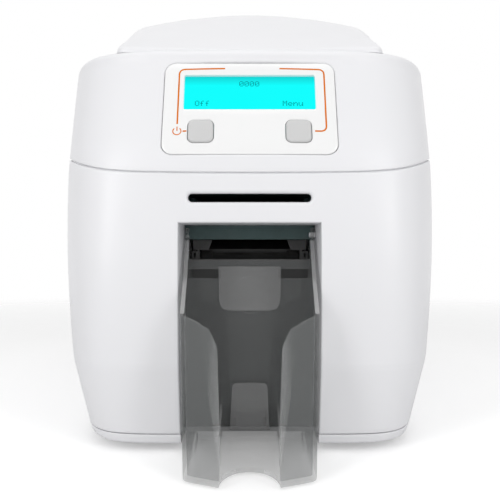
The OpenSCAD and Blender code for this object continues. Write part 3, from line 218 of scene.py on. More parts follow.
# %% [markdown]
# ## The casing's outline
# Seen from above, the casing is a softened rectangle that bows forward in its middle. A
# superellipse quarter gives each corner: its exponent says how square the corner is. Width, front
# and back all change with height, which makes the barrel-shaped flanks, the leaning lid and the
# tucked-in foot of the real casing. The same formulas shaped the solids in the frame, so the fine
# skin lies where the frame has it, apart from a few hundredths of a millimetre in width that keep
# it from reaching past the frame's box.

# %% Outline of the casing
BODY_W, BODY_D, ROOF_Z = 217.96, 380.0, 212.0
WIDEST_Y, CREASE_Z, SEAM_Z = 130.0, 45.0, 142.5
WALL, SEAM_GAP, FOOT_H = 2.6, 0.8, 4.0
LEAN = math.radians(22)
LEAN_SLOPE = math.tan(LEAN)
BLEND_H = 14.0
CREASE_SOFT = 2.0
UPRIGHT_Z, FOOT_CURVE, CHEST_CURVE = 100, 0.001, 0.0014
SEAM_FRONT = CHEST_CURVE * (SEAM_Z - UPRIGHT_Z) ** 2
SEAM_SLOPE = 2 * CHEST_CURVE * (SEAM_Z - UPRIGHT_Z)
CORNER_FRONT, CORNER_BACK = 8.6, 6.0
BULGE_Z, BULGE_BELOW, BULGE_ABOVE = 140, 0.00041, 0.0002
SIDE_TUCK, FRONT_TUCK, BACK_TUCK = 0.22, 0.27, 0.2
CHEST_BOW, SEAM_BOW, LID_BOW = 0.08, 3.4, 0.1
SWEEP_RISE, SWEEP_LENGTH, SWEEP_SLOPE = 9, 17, 0.1


def tuck(z):
    """How far a height lies under the crease, with the crease itself softened."""
    d = CREASE_Z - z
    if d > CREASE_SOFT:
        return d
    return (d + CREASE_SOFT) ** 2 / (4 * CREASE_SOFT) if d > -CREASE_SOFT else 0.0


def half_w(z):
    top = max(z, CREASE_Z)
    bulge = BULGE_BELOW if top < BULGE_Z else BULGE_ABOVE
    return BODY_W / 2 - bulge * (top - BULGE_Z) ** 2 - SIDE_TUCK * tuck(z)


def front_at(z):
    if z < UPRIGHT_Z:
        return FOOT_CURVE * (UPRIGHT_Z - max(z, CREASE_Z)) ** 2 + FRONT_TUCK * tuck(z)
    if z < SEAM_Z:
        return CHEST_CURVE * (z - UPRIGHT_Z) ** 2
    rise = z - SEAM_Z
    if rise < BLEND_H:
        return SEAM_FRONT + SEAM_SLOPE * rise + (LEAN_SLOPE - SEAM_SLOPE) * rise**2 / (2 * BLEND_H)
    return SEAM_FRONT + (SEAM_SLOPE + LEAN_SLOPE) * BLEND_H / 2 + LEAN_SLOPE * (rise - BLEND_H)


def back_at(z):
    return BODY_D - BACK_TUCK * tuck(z)


def bow_at(z):
    if z < UPRIGHT_Z:
        return 0.0
    return CHEST_BOW * (z - UPRIGHT_Z) if z < SEAM_Z else SEAM_BOW + LID_BOW * (z - SEAM_Z)


def seam_at(y):
    back = y - SEAM_FRONT
    return SEAM_Z + SWEEP_RISE * (1 - math.exp(-max(0.0, back) / SWEEP_LENGTH)) + SWEEP_SLOPE * back


def front_arc(u, mid, front, bow, power):
    return mid - (mid - front - bow * u * u) * math.sqrt(max(0.0, 1 - u**power))


def back_arc(u, mid, back, power):
    return mid + (back - mid) * max(0.0, 1 - u**power) ** 0.25


def face_y(x, z, inset=0.0):
    """Depth of the casing's front face."""
    u = min(1.0, abs(x) / (half_w(z) - inset))
    return front_arc(u, WIDEST_Y, front_at(z) + inset, bow_at(z), CORNER_FRONT)


def rear_y(x, z, inset=0.0):
    return back_arc(abs(x) / (half_w(z) - inset), WIDEST_Y, back_at(z) - inset, CORNER_BACK)


def casing_shape(z, inset=0.0):
    """Half width, front, back, bow, the two corner exponents and the depth of the widest point."""
    half, front, back = half_w(z) - inset, front_at(z) + inset, back_at(z) - inset
    return half, front, back, bow_at(z), CORNER_FRONT, CORNER_BACK, WIDEST_Y


print("half width at the seam:", round(half_w(SEAM_Z), 2), "mm")

# %% [markdown]
# ## Columns
# Each turn around the casing has its points in the same columns. Across the front they stand at
# fixed places, so that columns run exactly along the edges of the recess and close by the slot and
# the control panel, and from there they spread to the corner, closer together where the corner
# turns.

# %% Columns of a turn
RECESS_HALF, RECESS_TOP, RECESS_DEPTH, RECESS_WALL = 35.5, 117.5, 40.0, 2.5
LIP_R = 0.9
LIP_TURNS = [0, 18, 36, 54, 72, 90]
LIP_OUT = [LIP_R * (1 - math.sin(math.radians(t))) for t in reversed(LIP_TURNS)]
FIXED_END = 50.0
FRONT_TURN, BACK_TURN = 26, 34

fixed_x = [3.0 * i for i in range(9)] + [27.0 + i for i in range(24)]
fixed_x = sorted(set(fixed_x + [RECESS_HALF + d for d in LIP_OUT]))
right_columns = [("at", x) for x in fixed_x]
right_columns += [("front", s) for s in steps(0, 1, FRONT_TURN)[1:]]
right_columns += [("back", s) for s in reversed(steps(0, 1, BACK_TURN)[:-1])]
columns = [(kind, v, 1) for kind, v in right_columns] + [(kind, v, -1) for kind, v in right_columns[-2:0:-1]]
COLUMNS = len(columns)


def column_point(column, shape):
    """Where a column meets an outline."""
    kind, v, side = column
    half, front, back, bow, front_power, back_power, mid = shape
    if kind == "at":
        u = v / half
    elif kind == "front":
        u = 1 - (1 - FIXED_END / half) * (1 - v) ** 2
    else:
        u = 1 - (1 - v) ** 4
    y = back_arc(u, mid, back, back_power) if kind == "back" else front_arc(u, mid, front, bow, front_power)
    return side * half * u, y


def turn_of(shape):
    return [column_point(c, shape) for c in columns]


seam_turn = turn_of(casing_shape(SEAM_Z))


def level_row(z, inset=0.0):
    return [(x, y, z) for x, y in turn_of(casing_shape(z, inset))]


def rule_row(height_of, inset=0.0):
    """A row whose height follows a rule of the depth, such as the seam."""
    row = []
    for column, (_, y) in zip(columns, seam_turn):
        z = height_of(y)
        row.append((*column_point(column, casing_shape(z, inset)), z))
    return row


print("columns in a turn:", COLUMNS)

# %% [markdown]
# ## Openings with a rolled lip
# A moulded opening never has a knife edge: the face rolls over into the wall of the opening.
# Cutting a hole with a boolean leaves ragged facets just where the light shows them, so here the
# skin's own cells stop a little outside the opening, and rings of points lead from there to the
# lip, round it, and in along the wall. Each ring point is found from the nearest place on the
# opening's outline, which keeps the rings even around the corners.


# %% Openings
def nearest_on_outline(across, up, size, radius):
    """Nearest place on a rounded rectangle to an outside point, and the direction out of it there."""
    cx, cv = size[0] / 2 - radius, size[1] / 2 - radius
    mx, mv = max(-cx, min(cx, across)), max(-cv, min(cv, up))
    dx, dv = across - mx, up - mv
    n = math.hypot(dx, dv)
    return (mx + dx / n * radius, mv + dv / n * radius), (dx / n, dv / n)


def lip_rings(surface, outer_loop, inner_loop, flat, lift, size, radius, lip, wall):
    """Fills the space between a skin's open cells and a rounded rectangular opening.

    flat takes a skin point to (across, up) from the opening's middle, and lift brings (across, up, depth
    behind the face) back. The opening's wall runs through to the inner skin.
    """
    marks = [(flat(p), *nearest_on_outline(*flat(p), size, radius)) for p in outer_loop]

    def ring(share, out, behind):
        row = []
        for f, q, n in marks:
            target = (q[0] + n[0] * out, q[1] + n[1] * out)
            row.append(lift(f[0] + (target[0] - f[0]) * share, f[1] + (target[1] - f[1]) * share, behind))
        return row

    rows = [list(outer_loop)]
    rows += [ring(s, lip, 0.0) for s in steps(0, 1, 4)[1:]]
    for turn in LIP_TURNS[1:]:
        a = math.radians(turn)
        rows.append(ring(1.0, lip * (1 - math.sin(a)), lip * (1 - math.cos(a))))
    rows.append(ring(1.0, 0.0, wall))
    rows += [ring(1 - s, 0.0, wall) for s in (0.35, 0.7)]
    rows.append(list(inner_loop))
    surface.strips(rows)


def loop_around(rows, low, high, right):
    """The skin's points round a block of open cells: rows low to high, columns -right to right."""
    left = COLUMNS - right
    bottom = [rows[low][c % COLUMNS] for c in range(left, COLUMNS + right + 1)]
    right_side = [rows[r][right] for r in range(low + 1, high)]
    top = [rows[high][c % COLUMNS] for c in range(COLUMNS + right, left - 1, -1)]
    left_side = [rows[r][left] for r in range(high - 1, low, -1)]
    return bottom + right_side + top + left_side


def skin_cells(surface, rows, blocks):
    """All cells of a skin but those in blocks of (low row, high row, right column)."""
    for r in range(len(rows) - 1):
        for c in range(COLUMNS):
            if any(low <= r < high and (c < right or c >= COLUMNS - right) for low, high, right in blocks):
                continue
            d = (c + 1) % COLUMNS
            surface.face(rows[r][c], rows[r][d], rows[r + 1][d], rows[r + 1][c])


# %% [markdown]
# ## The lower casing: rows
# One moulding closes the printer from the pan to the seam. Its front has two openings: a deep
# recess, open below, that the card stacker hangs in, and above it a slot for feeding single cards.
# The skin is written as rows at chosen heights. Above the slot the rows spread to meet the seam,
# which starts level at the front and sweeps up round the corners.

# %% Lower casing: rows
PAN_TOP = FOOT_H + 5.2
CASE_Z = PAN_TOP + 0.4
SLOT_Z, SLOT_W, SLOT_H = 130.0, 62.8, 5.0
SLOT_LOW, SLOT_HIGH = 123.6, 136.4
EDGE_R = 0.6
EDGE_TURNS = [0, 30, 60, 90]

levels = [CASE_Z + EDGE_R, 12, 16, 21, 26, 31, 36, 40]
levels += [CREASE_Z + CREASE_SOFT * s for s in (-1.2, -0.8, -0.4, 0, 0.4, 0.8, 1.2)]
levels += steps(51, 111, 12) + [RECESS_TOP + d for d in LIP_OUT] + [120.5] + steps(SLOT_LOW, SLOT_HIGH, 16)
seam_shares = [0.15, 0.3, 0.45, 0.6, 0.75, 0.88]


def edge_inset(turn):
    return EDGE_R * (1 - math.cos(math.radians(turn)))


def edge_rise(turn):
    return EDGE_R * (1 - math.sin(math.radians(turn)))


def lower_rows(inset):
    """Rows of the lower casing's outer (inset 0) or inner skin, from the pan to the seam."""
    soft = 1 if inset == 0 else 0
    rows = [level_row(CASE_Z + edge_rise(t), inset + soft * edge_inset(t)) for t in (90, 60, 30)]
    rows += [level_row(z, inset) for z in levels]
    for share in seam_shares:
        rows.append(rule_row(
            lambda y: SLOT_HIGH + share * (seam_at(y) - SEAM_GAP / 2 - EDGE_R - SLOT_HIGH), inset))
    for t in EDGE_TURNS:
        rows.append(rule_row(
            lambda y: seam_at(y) - SEAM_GAP / 2 - edge_rise(t), inset + soft * edge_inset(t)))
    return rows


first_level = 3
recess_col = fixed_x.index(RECESS_HALF)
recess_row = first_level + levels.index(RECESS_TOP)
slot_rows = (first_level + levels.index(SLOT_LOW), first_level + levels.index(SLOT_HIGH))
outer_rows, inner_rows = lower_rows(0), lower_rows(WALL)
print("rows of the lower casing:", len(outer_rows))

# %% [markdown]
# ## The lower casing: the recess
# The recess's lip is made by moving the skin itself: points within a lip's radius of the recess
# sink back along a quarter circle. The inner skin is pushed outward beside the recess, to leave
# room for the recess's own walls. Along the seam the wall carries a small tongue that reaches up
# behind the lid's edge. It keeps dust out of the real casing, and here it lets the seam read as a
# soft grey line, because light meets plastic a millimetre in.


# %% Lower casing: recess
def lip_sink(x, z):
    d = math.hypot(max(abs(x) - RECESS_HALF, 0), max(z - RECESS_TOP, 0))
    return LIP_R - math.sqrt(max(0.0, LIP_R**2 - (LIP_R - d) ** 2)) if d < LIP_R else 0.0


def pushed(value, edge, end):
    """Values up to an edge move out by the recess's wall, and the move fades out at end."""
    if value <= edge:
        return value * (edge + RECESS_WALL) / edge
    if value >= end:
        return value
    return edge + RECESS_WALL + (value - edge) * (end - edge - RECESS_WALL) / (end - edge)


ROOM_DEPTH, ROOM_HALF, ROOM_Z = 30, 43.0, 105


def make_room(point):
    x, y, z = point
    if y > ROOM_DEPTH or abs(x) > FIXED_END or z >= SLOT_LOW:
        return point
    if z > ROOM_Z:
        z2 = pushed(z, RECESS_TOP, SLOT_LOW)
    else:
        z2 = z + (z - CASE_Z) / (ROOM_Z - CASE_Z) * (pushed(ROOM_Z, RECESS_TOP, SLOT_LOW) - ROOM_Z)
    x2 = math.copysign(pushed(abs(x), RECESS_HALF, ROOM_HALF), x)
    return x2, face_y(x2, z2, WALL), z2


outer_rows = [[(x, y + lip_sink(x, z) if y < ROOM_DEPTH else y, z) for x, y, z in row] for row in outer_rows]
inner_rows = [[make_room(p) for p in row] for row in inner_rows]

case = Surface()
blocks = [(0, recess_row, recess_col), (*slot_rows, recess_col)]
skin_cells(case, outer_rows, blocks)
skin_cells(case, inner_rows, blocks)
TONGUE_IN, TONGUE_RISE = 1.3, 1.8
tongue = [rule_row(lambda y: seam_at(y) - SEAM_GAP / 2 + rise, inset)
          for rise, inset in ((0, TONGUE_IN), (TONGUE_RISE, TONGUE_IN), (TONGUE_RISE, WALL))]
case.strips([outer_rows[-1], *tongue, inner_rows[-1]])
beside = range(recess_col, COLUMNS - recess_col + 1)
case.strip([outer_rows[0][c] for c in beside], [inner_rows[0][c] for c in beside], closed=False)


def recess_path(rows):
    """Up one side of the recess, along its ceiling and down the other side."""
    right = [rows[r][recess_col] for r in range(recess_row + 1)]
    top = [rows[recess_row][c % COLUMNS] for c in range(COLUMNS + recess_col - 1, COLUMNS - recess_col, -1)]
    left = [rows[r][COLUMNS - recess_col] for r in range(recess_row, -1, -1)]
    return right + top + left


outer_path, inner_path = recess_path(outer_rows), recess_path(inner_rows)


def recess_row_at(path, share):
    """The path carried a share of the way back to the recess's depth."""
    return [(x, y + (RECESS_DEPTH - y) * share, z) for x, y, z in path]


recess_walls = [recess_row_at(outer_path, s) for s in (0, 0.25, 0.5, 0.75, 1)]
recess_walls += [recess_row_at(inner_path, s) for s in (1, 0.5, 0)]
case.strips(recess_walls, closed=False)
case.face(*[row[0] for row in recess_walls])
case.face(*[row[-1] for row in recess_walls])

# %% [markdown]
# ## The lower casing: the slot and the inside
# The slot is 5 mm high with round ends and a generous lip. Behind it a guide of the frame's own
# leads to the card track. Inside the casing stand the screw bosses, the pegs for the stacker and
# four sleeves for the fan's screws, of which the outer two reach a little way through the curved
# wall. The knuckles of the lid's hinge stand on its back.

# %% Lower casing: slot
SLOT_LIP, SLOT_MOUTH = 1.9, (SLOT_W - 1.2, SLOT_H - 0.8)


def slot_flat(p):
    return p[0], p[2] - SLOT_Z


def slot_lift(across, up, behind):
    return across, face_y(across, SLOT_Z + up) + behind, SLOT_Z + up


lip_rings(
    case,
    loop_around(outer_rows, *slot_rows, recess_col),
    loop_around(inner_rows, *slot_rows, recess_col),
    slot_flat,
    slot_lift,
    SLOT_MOUTH,
    SLOT_MOUTH[1] / 2 - 0.001,
    SLOT_LIP,
    WALL,
)


# %% Turned and boxed details
def turned(surface, profile, centre, axis, segments=32):
    """A closed body of revolution. The profile is a closed loop of (along the axis, radius)."""
    rows = []
    for along, radius in profile:
        row = []
        for i in range(segments):
            a = 2 * math.pi * i / segments
            c, s = radius * math.cos(a), radius * math.sin(a)
            offset = {"x": (along, c, s), "y": (s, along, c), "z": (c, s, along)}[axis]
            row.append(tuple(m + o for m, o in zip(centre, offset)))
        rows.append(row)
    rows.append(rows[0])
    surface.strips(rows)


def sleeve(low, high, radius, bore, soft=0.3):
    """Profile of a tube with softened outer edges."""
    return [
        (low, bore),
        (low, radius - soft),
        (low + soft * 0.3, radius - soft * 0.3),
        (low + soft, radius),
        (high - soft, radius),
        (high - soft * 0.3, radius - soft * 0.3),
        (high, radius - soft),
        (high, bore),
    ]


def soft_block(surface, x, y, z, soft=0.4):
    """A block with every edge rounded over."""
    bm = bmesh.new()
    bmesh.ops.create_cube(bm, size=1.0)
    for v in bm.verts:
        v.co = Vector([low + (high - low) * (c + 0.5) for c, (low, high) in zip(v.co, (x, y, z))])
    bmesh.ops.bevel(bm, geom=bm.edges, offset=soft, segments=2, affect="EDGES", profile=0.5)
    for f in bm.faces:
        surface.face(*[tuple(v.co) for v in f.verts])
    bm.free()


# %% Lower casing: bosses, pegs and hinge knuckles
BOSS_X, BOSS_DEPTHS, BOSS_R, BOSS_H, SCREW_R = 86.0, (130.0, 290.0), 5.0, 16, 1.5
BORE_PLAY = 0.05
PEG_Y, PEG_Z, PEG_R, PEG_X = 31.5, 112.2, 1.4, 32.0
FAN_X, FAN_Z, FAN_BACK = 48.0, 80.0, rear_y(68, 80, WALL) - 1
FAN_HOLE, FAN_SLEEVE_R, FAN_SCREW_R = 16, 2.6, 1.2
HINGE_R, HINGE_PIN_R, HINGE_X, LEAF_W = 3.4, 1.5, 50.0, 6.0
HINGE_Y = BODY_D + 0.5 + HINGE_R
HINGE_Z = seam_at(BODY_D)
LEAF_PLAY, LEAF_SOFT, LEAF_DEPTHS = 0.4, 0.3, (BODY_D - 2.4, HINGE_Y - 1.6)


def knuckle(surface, side, near, far, radius, bore, centre):
    """One knuckle of a hinge, to one side of the middle; gives the span that it fills along x."""
    x = sorted((side * near, side * far))
    turned(surface, sleeve(*x, radius, bore), (0, *centre), "x")
    return x


def lid_knuckle(surface, side, near, far):
    return knuckle(surface, side, near, far, HINGE_R, HINGE_PIN_R + BORE_PLAY, (HINGE_Y, HINGE_Z))


for side in (-1, 1):
    for depth in BOSS_DEPTHS:
        profile = sleeve(CASE_Z, CASE_Z + BOSS_H, BOSS_R, SCREW_R + BORE_PLAY)
        turned(case, profile, (side * BOSS_X, depth, 0), "z")
        x = sorted((side * (BOSS_X + 4.5), side * (BOSS_X + 10.5)))
        soft_block(case, x, (depth - 1.2, depth + 1.2), (CASE_Z, CASE_Z + 10))
    peg_x = sorted((side * PEG_X, side * (RECESS_HALF + 1)))
    turned(case, sleeve(peg_x[0], peg_x[1], PEG_R, 0.001, 0.2), (0, PEG_Y, PEG_Z), "x", 24)
    for x0 in (HINGE_X - LEAF_W * 1.5 - LEAF_PLAY, HINGE_X + LEAF_W / 2 + LEAF_PLAY):
        x = lid_knuckle(case, side, x0, x0 + LEAF_W)
        soft_block(case, x, LEAF_DEPTHS, (HINGE_Z - 8, HINGE_Z - 0.8), LEAF_SOFT)
    for up in (-FAN_HOLE, FAN_HOLE):
        turned(case, sleeve(FAN_BACK, BODY_D - WALL + 0.6, FAN_SLEEVE_R, FAN_SCREW_R),
               (FAN_X + side * FAN_HOLE, 0, FAN_Z + up), "y", 24)

case_shell = case.build("case_shell", "casing", "casing_white", replaces=["main_case"])

# %% [markdown]
# ## Cutting through the back
# The vent in front of the fan and the three sockets are plain cuts through a nearly flat wall,
# where a boolean modifier is quick and leaves no visible faults. The vent's bars end in half
# circles, as a moulder likes them.


# %% Boolean cuts
def cutter(surface, name):
    mesh = bpy.data.meshes.new(name)
    mesh.from_pydata([place(p) for p in surface.points], [], surface.faces)
    obj = bpy.data.objects.new(name, mesh)
    bpy.context.scene.collection.objects.link(obj)
    tidy_normals(obj)
    return obj


def carve(obj, tool, operation="DIFFERENCE"):
    """Applies an exact boolean and removes the tool."""
    modifier = obj.modifiers.new("carve", "BOOLEAN")
    modifier.operation = operation
    modifier.solver = "EXACT"
    modifier.object = tool
    mesh = bpy.data.meshes.new_from_object(obj.evaluated_get(bpy.context.evaluated_depsgraph_get()))
    obj.modifiers.remove(modifier)
    old = obj.data
    obj.data = mesh
    mesh.name = obj.name
    bpy.data.meshes.remove(old)
    bpy.data.objects.remove(tool)
    soften(obj)
    report(obj)


def prism(surface, outline, low, high, axis):
    """Raises a flat outline between two places along an axis."""
    order = {"x": (2, 0, 1), "y": (0, 2, 1), "z": (0, 1, 2)}[axis]
    rows = [[tuple((a, b, c)[i] for i in order) for a, b in outline] for c in (low, high)]
    surface.strip(*rows)
    surface.face(*reversed(rows[0]))
    surface.face(*rows[1])


def round_outline(width, height, radius, centre=(0, 0), turn_steps=6):
    """Points of a rounded rectangle, anticlockwise."""
    points = []
    for k, (sx, sv) in enumerate(((1, 1), (-1, 1), (-1, -1), (1, -1))):
        cx, cv = sx * (width / 2 - radius), sv * (height / 2 - radius)
        for i in range(turn_steps + 1):
            a = math.radians(90 * (k + i / turn_steps))
            points.append((centre[0] + cx + radius * math.cos(a), centre[1] + cv + radius * math.sin(a)))
    return points


PAN_FLOOR, BOARD_STANDS, BOARD_T, PORT_PLAY = 2.4, 8, 1.6, 0.2
PORT_Z = FOOT_H + PAN_FLOOR + BOARD_STANDS + BOARD_T + PORT_PLAY
VENT_BARS, VENT_STEP, VENT_W, VENT_H, VENT_LESS = range(-3, 4), 4.6, 2.6, 34, 2.2
BEHIND = 400
SOCKETS = [  # width, height, corner radius, middle, and the depth that the cut starts at
    (12.6, 11.6, 0.8, (50.0, PORT_Z + 5.5), 355),
    (16.6, 14.1, 0.8, (66.0, PORT_Z + 6.75), 340),
    (11.6, 11.6, 5.79, (-55.0, 24.0), 360),
]
rear_cuts = Surface()
for i in VENT_BARS:
    bar = round_outline(VENT_W, VENT_H - VENT_LESS * i * i, VENT_W / 2 - 0.01, (FAN_X + i * VENT_STEP, FAN_Z))
    prism(rear_cuts, bar, 360, BEHIND, "y")
for width, height, radius, middle, start in SOCKETS:
    outline = round_outline(width, height, radius, middle, 10 if radius > 1 else 6)
    prism(rear_cuts, outline, start, BEHIND, "y")
carve(case_shell, cutter(rear_cuts, "rear_cuts"))

# %% [markdown]
# ## The pan
# Under the casing sits a shallow pan with its edge turned up. It draws in towards the table, so the
# printer seems to float on its feet. The recess runs through its front.

# %% Pan
PAN_ROUND, PAN_DRAWN_IN, PAN_EDGE = 1.6, 1.7, 0.3
pan_rows = []
for t in (90, 72, 54, 36, 18, 0):
    a = math.radians(t)
    pan_rows.append(level_row(
        FOOT_H + PAN_ROUND * (1 - math.sin(a)), PAN_EDGE + PAN_DRAWN_IN * (1 - math.cos(a))))
pan_rows += [level_row(FOOT_H + 3.2, 0.15), level_row(PAN_TOP - 0.4), level_row(PAN_TOP - 0.1, 0.1)]
pan_rows += [level_row(PAN_TOP, 0.4), level_row(PAN_TOP, WALL), level_row(FOOT_H + PAN_FLOOR, WALL + 1)]
PAN_MID = 205
pan = Surface()
pan.strips(pan_rows)
pan.fan(pan_rows[0], (0, PAN_MID, FOOT_H))
pan.fan(pan_rows[-1], (0, PAN_MID, FOOT_H + PAN_FLOOR))
base_skin = pan.build("base_skin", "casing", "casing_white", replaces=["base_pan"])
notch = Surface()
prism(notch, round_outline(2 * RECESS_HALF, 80, 0.5, (0, RECESS_DEPTH - 40)), 0, 60, "z")
for side in (-1, 1):
    for depth in BOSS_DEPTHS:
        prism(notch, round_outline(6.6, 6.6, 3.29, (side * BOSS_X, depth), 8), 0, FOOT_H + 3, "z")
carve(base_skin, cutter(notch, "notch"))
sleeves = Surface()
for side in (-1, 1):
    for depth in BOSS_DEPTHS:
        turned(sleeves, sleeve(FOOT_H + 1.2, PAN_TOP, 5.4, SCREW_R + 0.3), (side * BOSS_X, depth, 0), "z")
sleeves.build("pan_sleeves", "casing", "casing_white")

# %% [markdown]
# ## The lid
# The lid carries on from the seam, turns over a soft shoulder into a flat roof, and from the roof
# rises the hump that houses the card magazine. It is one moulding, so it is one skin here: side
# rows, the shoulder's quarter turn, a small fillet at the hump's foot, the hump's wall and rounded
# edge, and rows that close in over the crown.

# %% Lid: shape of the hump
SHOULDER_R = 6.0
SHOULDER_Z = ROOF_Z - SHOULDER_R
HUMP_W, HUMP_Z, HUMP_EDGE_R = 155.0, 271.0, 10.0
HUMP_FRONT = front_at(SHOULDER_Z) + SHOULDER_R + 0.6
HUMP_BACK = BODY_D - 8
HUMP_MID = 205.0
CROWN = 0.002
HUMP_BOW, HUMP_FRONT_CORNER, HUMP_BACK_CORNER = 5.5, 60, 9
RIDGE_RISE, RIDGE_SLOPE, RIDGE_SOFT = 0.8, 0.6, 30
FOOT_FILLET, FOOT_SHARE = 0.9, 0.28


def soft_min(a, b, k):
    h = max(0.0, min(1.0, 0.5 + 0.5 * (b - a) / k))
    return b + (a - b) * h - k * h * (1 - h)


def ridge(y):
    return soft_min(ROOF_Z + RIDGE_RISE + RIDGE_SLOPE * (y - HUMP_FRONT), HUMP_Z, RIDGE_SOFT)


def hump_at(x, y):
    return ridge(y) - CROWN * x * x * (ridge(y) - ROOF_Z) / (HUMP_Z - ROOF_Z)


def hump_shape(inset):
    half, front, back = HUMP_W / 2 - inset, HUMP_FRONT + inset, HUMP_BACK - inset
    return half, front, back, HUMP_BOW, HUMP_FRONT_CORNER, HUMP_BACK_CORNER, HUMP_MID


hump_turn = turn_of(hump_shape(0))


def edge_radius(x, y, inset):
    return max(0.3, min(HUMP_EDGE_R, 0.7 * (hump_at(x, y) - ROOF_Z)) - inset)


def hump_edge_row(turn, inset):
    """The hump's rounded edge: turn 0 is the top of its wall, turn 90 the crown."""
    a = math.radians(turn)
    row = []
    for column, (x, y) in zip(columns, hump_turn):
        r = edge_radius(x, y, inset)
        px, py = column_point(column, hump_shape(inset + r * (1 - math.cos(a))))
        row.append((px, py, hump_at(px, py) - inset - r * (1 - math.sin(a))))
    return row


def hump_foot_row(turn, inset):
    """A concave fillet where the hump's wall meets the roof: turn 0 on the roof, turn 90 on the wall."""
    a = math.radians(turn)
    row = []
    for column, (x, y) in zip(columns, hump_turn):
        f = min(FOOT_FILLET, FOOT_SHARE * (hump_at(x, y) - ROOF_Z))
        px, py = column_point(column, hump_shape(inset - f * (1 - math.sin(a))))
        row.append((px, py, ROOF_Z - inset + f * (1 - math.cos(a))))
    return row


def crown_row(share, inset):
    row = []
    for x, y, _ in hump_edge_row(90, inset):
        cx, cy = x * share, HUMP_MID + (y - HUMP_MID) * share
        row.append((cx, cy, hump_at(cx, cy) - inset))
    return row


# %% Lid: rows
lid_shares = [0.0, 0.03, 0.06, 0.09, 0.12, 0.15, 0.18, 0.22, 0.27, 0.34, 0.44]
lid_shares += [0.55, 0.66, 0.77, 0.87, 0.94, 1.0]
crown_shares = [0.97, 0.93, 0.88, 0.82, 0.75, 0.66, 0.56, 0.45, 0.34, 0.23, 0.12]


def between(row_a, row_b, share):
    return [tuple(p + (q - p) * share for p, q in zip(a, b)) for a, b in zip(row_a, row_b)]


def lid_rows(inset):
    soft = 1 if inset == 0 else 0
    rows = [rule_row(lambda y: seam_at(y) + SEAM_GAP / 2 + edge_rise(t), inset + soft * edge_inset(t))
            for t in (90, 60, 30)]
    for share in lid_shares:
        rows.append(rule_row(
            lambda y: seam_at(y) + SEAM_GAP / 2 + EDGE_R
            + share * (SHOULDER_Z - seam_at(y) - SEAM_GAP / 2 - EDGE_R),
            inset))
    r = SHOULDER_R - inset
    for t in (12, 24, 36, 48, 60, 72, 81, 90):
        a = math.radians(t)
        rows.append([(x, y, SHOULDER_Z + r * math.sin(a))
                     for x, y in turn_of(casing_shape(SHOULDER_Z, inset + r * (1 - math.cos(a))))])
    foot = hump_foot_row(0, inset)
    rows += [between(rows[-1], foot, s) for s in (0.35, 0.7)]
    rows += [hump_foot_row(t, inset) for t in (0, 30, 60, 90)]
    rows += [hump_edge_row(t, inset) for t in (0, 11, 22, 34, 45, 56, 68, 79, 90)]
    rows += [crown_row(s, inset) for s in crown_shares]
    return rows


panel_col = fixed_x.index(FIXED_END)
lid_low, lid_high = 3 + lid_shares.index(0.12), 3 + lid_shares.index(1.0)
lid_outer, lid_inner = lid_rows(0), lid_rows(WALL)
REBATE_IN, REBATE_RISE = 1.15, 1.8
ABOVE_REBATE = 3 + lid_shares.index(0.09)
lid = Surface()
for rows, inset, first in ((lid_outer, 0, 0), (lid_inner, WALL, ABOVE_REBATE)):
    skin_cells(lid, rows[first:], [(lid_low - first, lid_high - first, panel_col)])
    lid.fan(rows[-1], (0, HUMP_MID, hump_at(0, HUMP_MID) - inset))
rebate = [rule_row(lambda y: seam_at(y) + SEAM_GAP / 2 + rise, inset)
          for rise, inset in ((0, REBATE_IN), (REBATE_RISE, REBATE_IN), (REBATE_RISE, WALL))]
lid.strips([lid_outer[0], *rebate, lid_inner[ABOVE_REBATE]])
print("rows of the lid:", len(lid_outer))

# %% [markdown]
# ## The control panel's opening
# The panel lies in the lid's sloping front. Its drawing is flat and is carried along the slope's
# own normal onto the bowed face, the way a punch would go through it, so the opening, the panel,
# the window and the buttons all share one pair of coordinates: across, and up the slope from the
# panel's middle.

# %% Coordinates on the slope
PANEL_W, PANEL_H, PANEL_R = 89.5, 55.4, 6.0
PANEL_GAP = 0.3
PANEL_Z = SEAM_Z + 10
slope_z = PANEL_Z + PANEL_H / 2 * math.cos(LEAN)
slope_y = face_y(0, slope_z)


def slope_flat(p):
    return p[0], (p[1] - slope_y) * math.sin(LEAN) + (p[2] - slope_z) * math.cos(LEAN)


def slope_plane(across, up, out):
    """A point on the flat plane that touches the face at the panel's middle, moved out along its normal."""
    return (
        across,
        slope_y + up * math.sin(LEAN) - out * math.cos(LEAN),
        slope_z + up * math.cos(LEAN) + out * math.sin(LEAN),
    )


def slope_lift(across, up, behind):
    """A point on the bowed face itself, or behind it along the normal."""
    s = 0.0
    for _ in range(6):
        _, y, z = slope_plane(across, up, -s)
        s += (face_y(across, z) - y) / math.cos(LEAN)
    return slope_plane(across, up, -s - behind)


lip_rings(
    lid,
    loop_around(lid_outer, lid_low, lid_high, panel_col),
    loop_around(lid_inner, lid_low, lid_high, panel_col),
    slope_flat,
    slope_lift,
    (PANEL_W + 2 * PANEL_GAP, PANEL_H + 2 * PANEL_GAP),
    PANEL_R + PANEL_GAP,
    0.9,
    WALL * math.cos(LEAN),
)

# %% Lid: knuckles and bosses
LINER_TOP = ROOF_Z - 22
DOOR_HINGE_R, DOOR_PIN_R = 2.6, 1.2
DOOR_Z = HUMP_Z - 18
DOOR_HINGE_Y, DOOR_HINGE_Z = HUMP_BACK + DOOR_HINGE_R + 0.4, DOOR_Z - 3
FIXED_KNUCKLE, DOOR_KNUCKLE = (8, 15.6), (16, 22)
LID_BOSS_X, LID_BOSS_DEPTHS, LID_BOSS_R = 92, (95, 315), 4.0


def door_knuckle(surface, side, near, far):
    return knuckle(
        surface, side, near, far, DOOR_HINGE_R, DOOR_PIN_R + BORE_PLAY, (DOOR_HINGE_Y, DOOR_HINGE_Z))


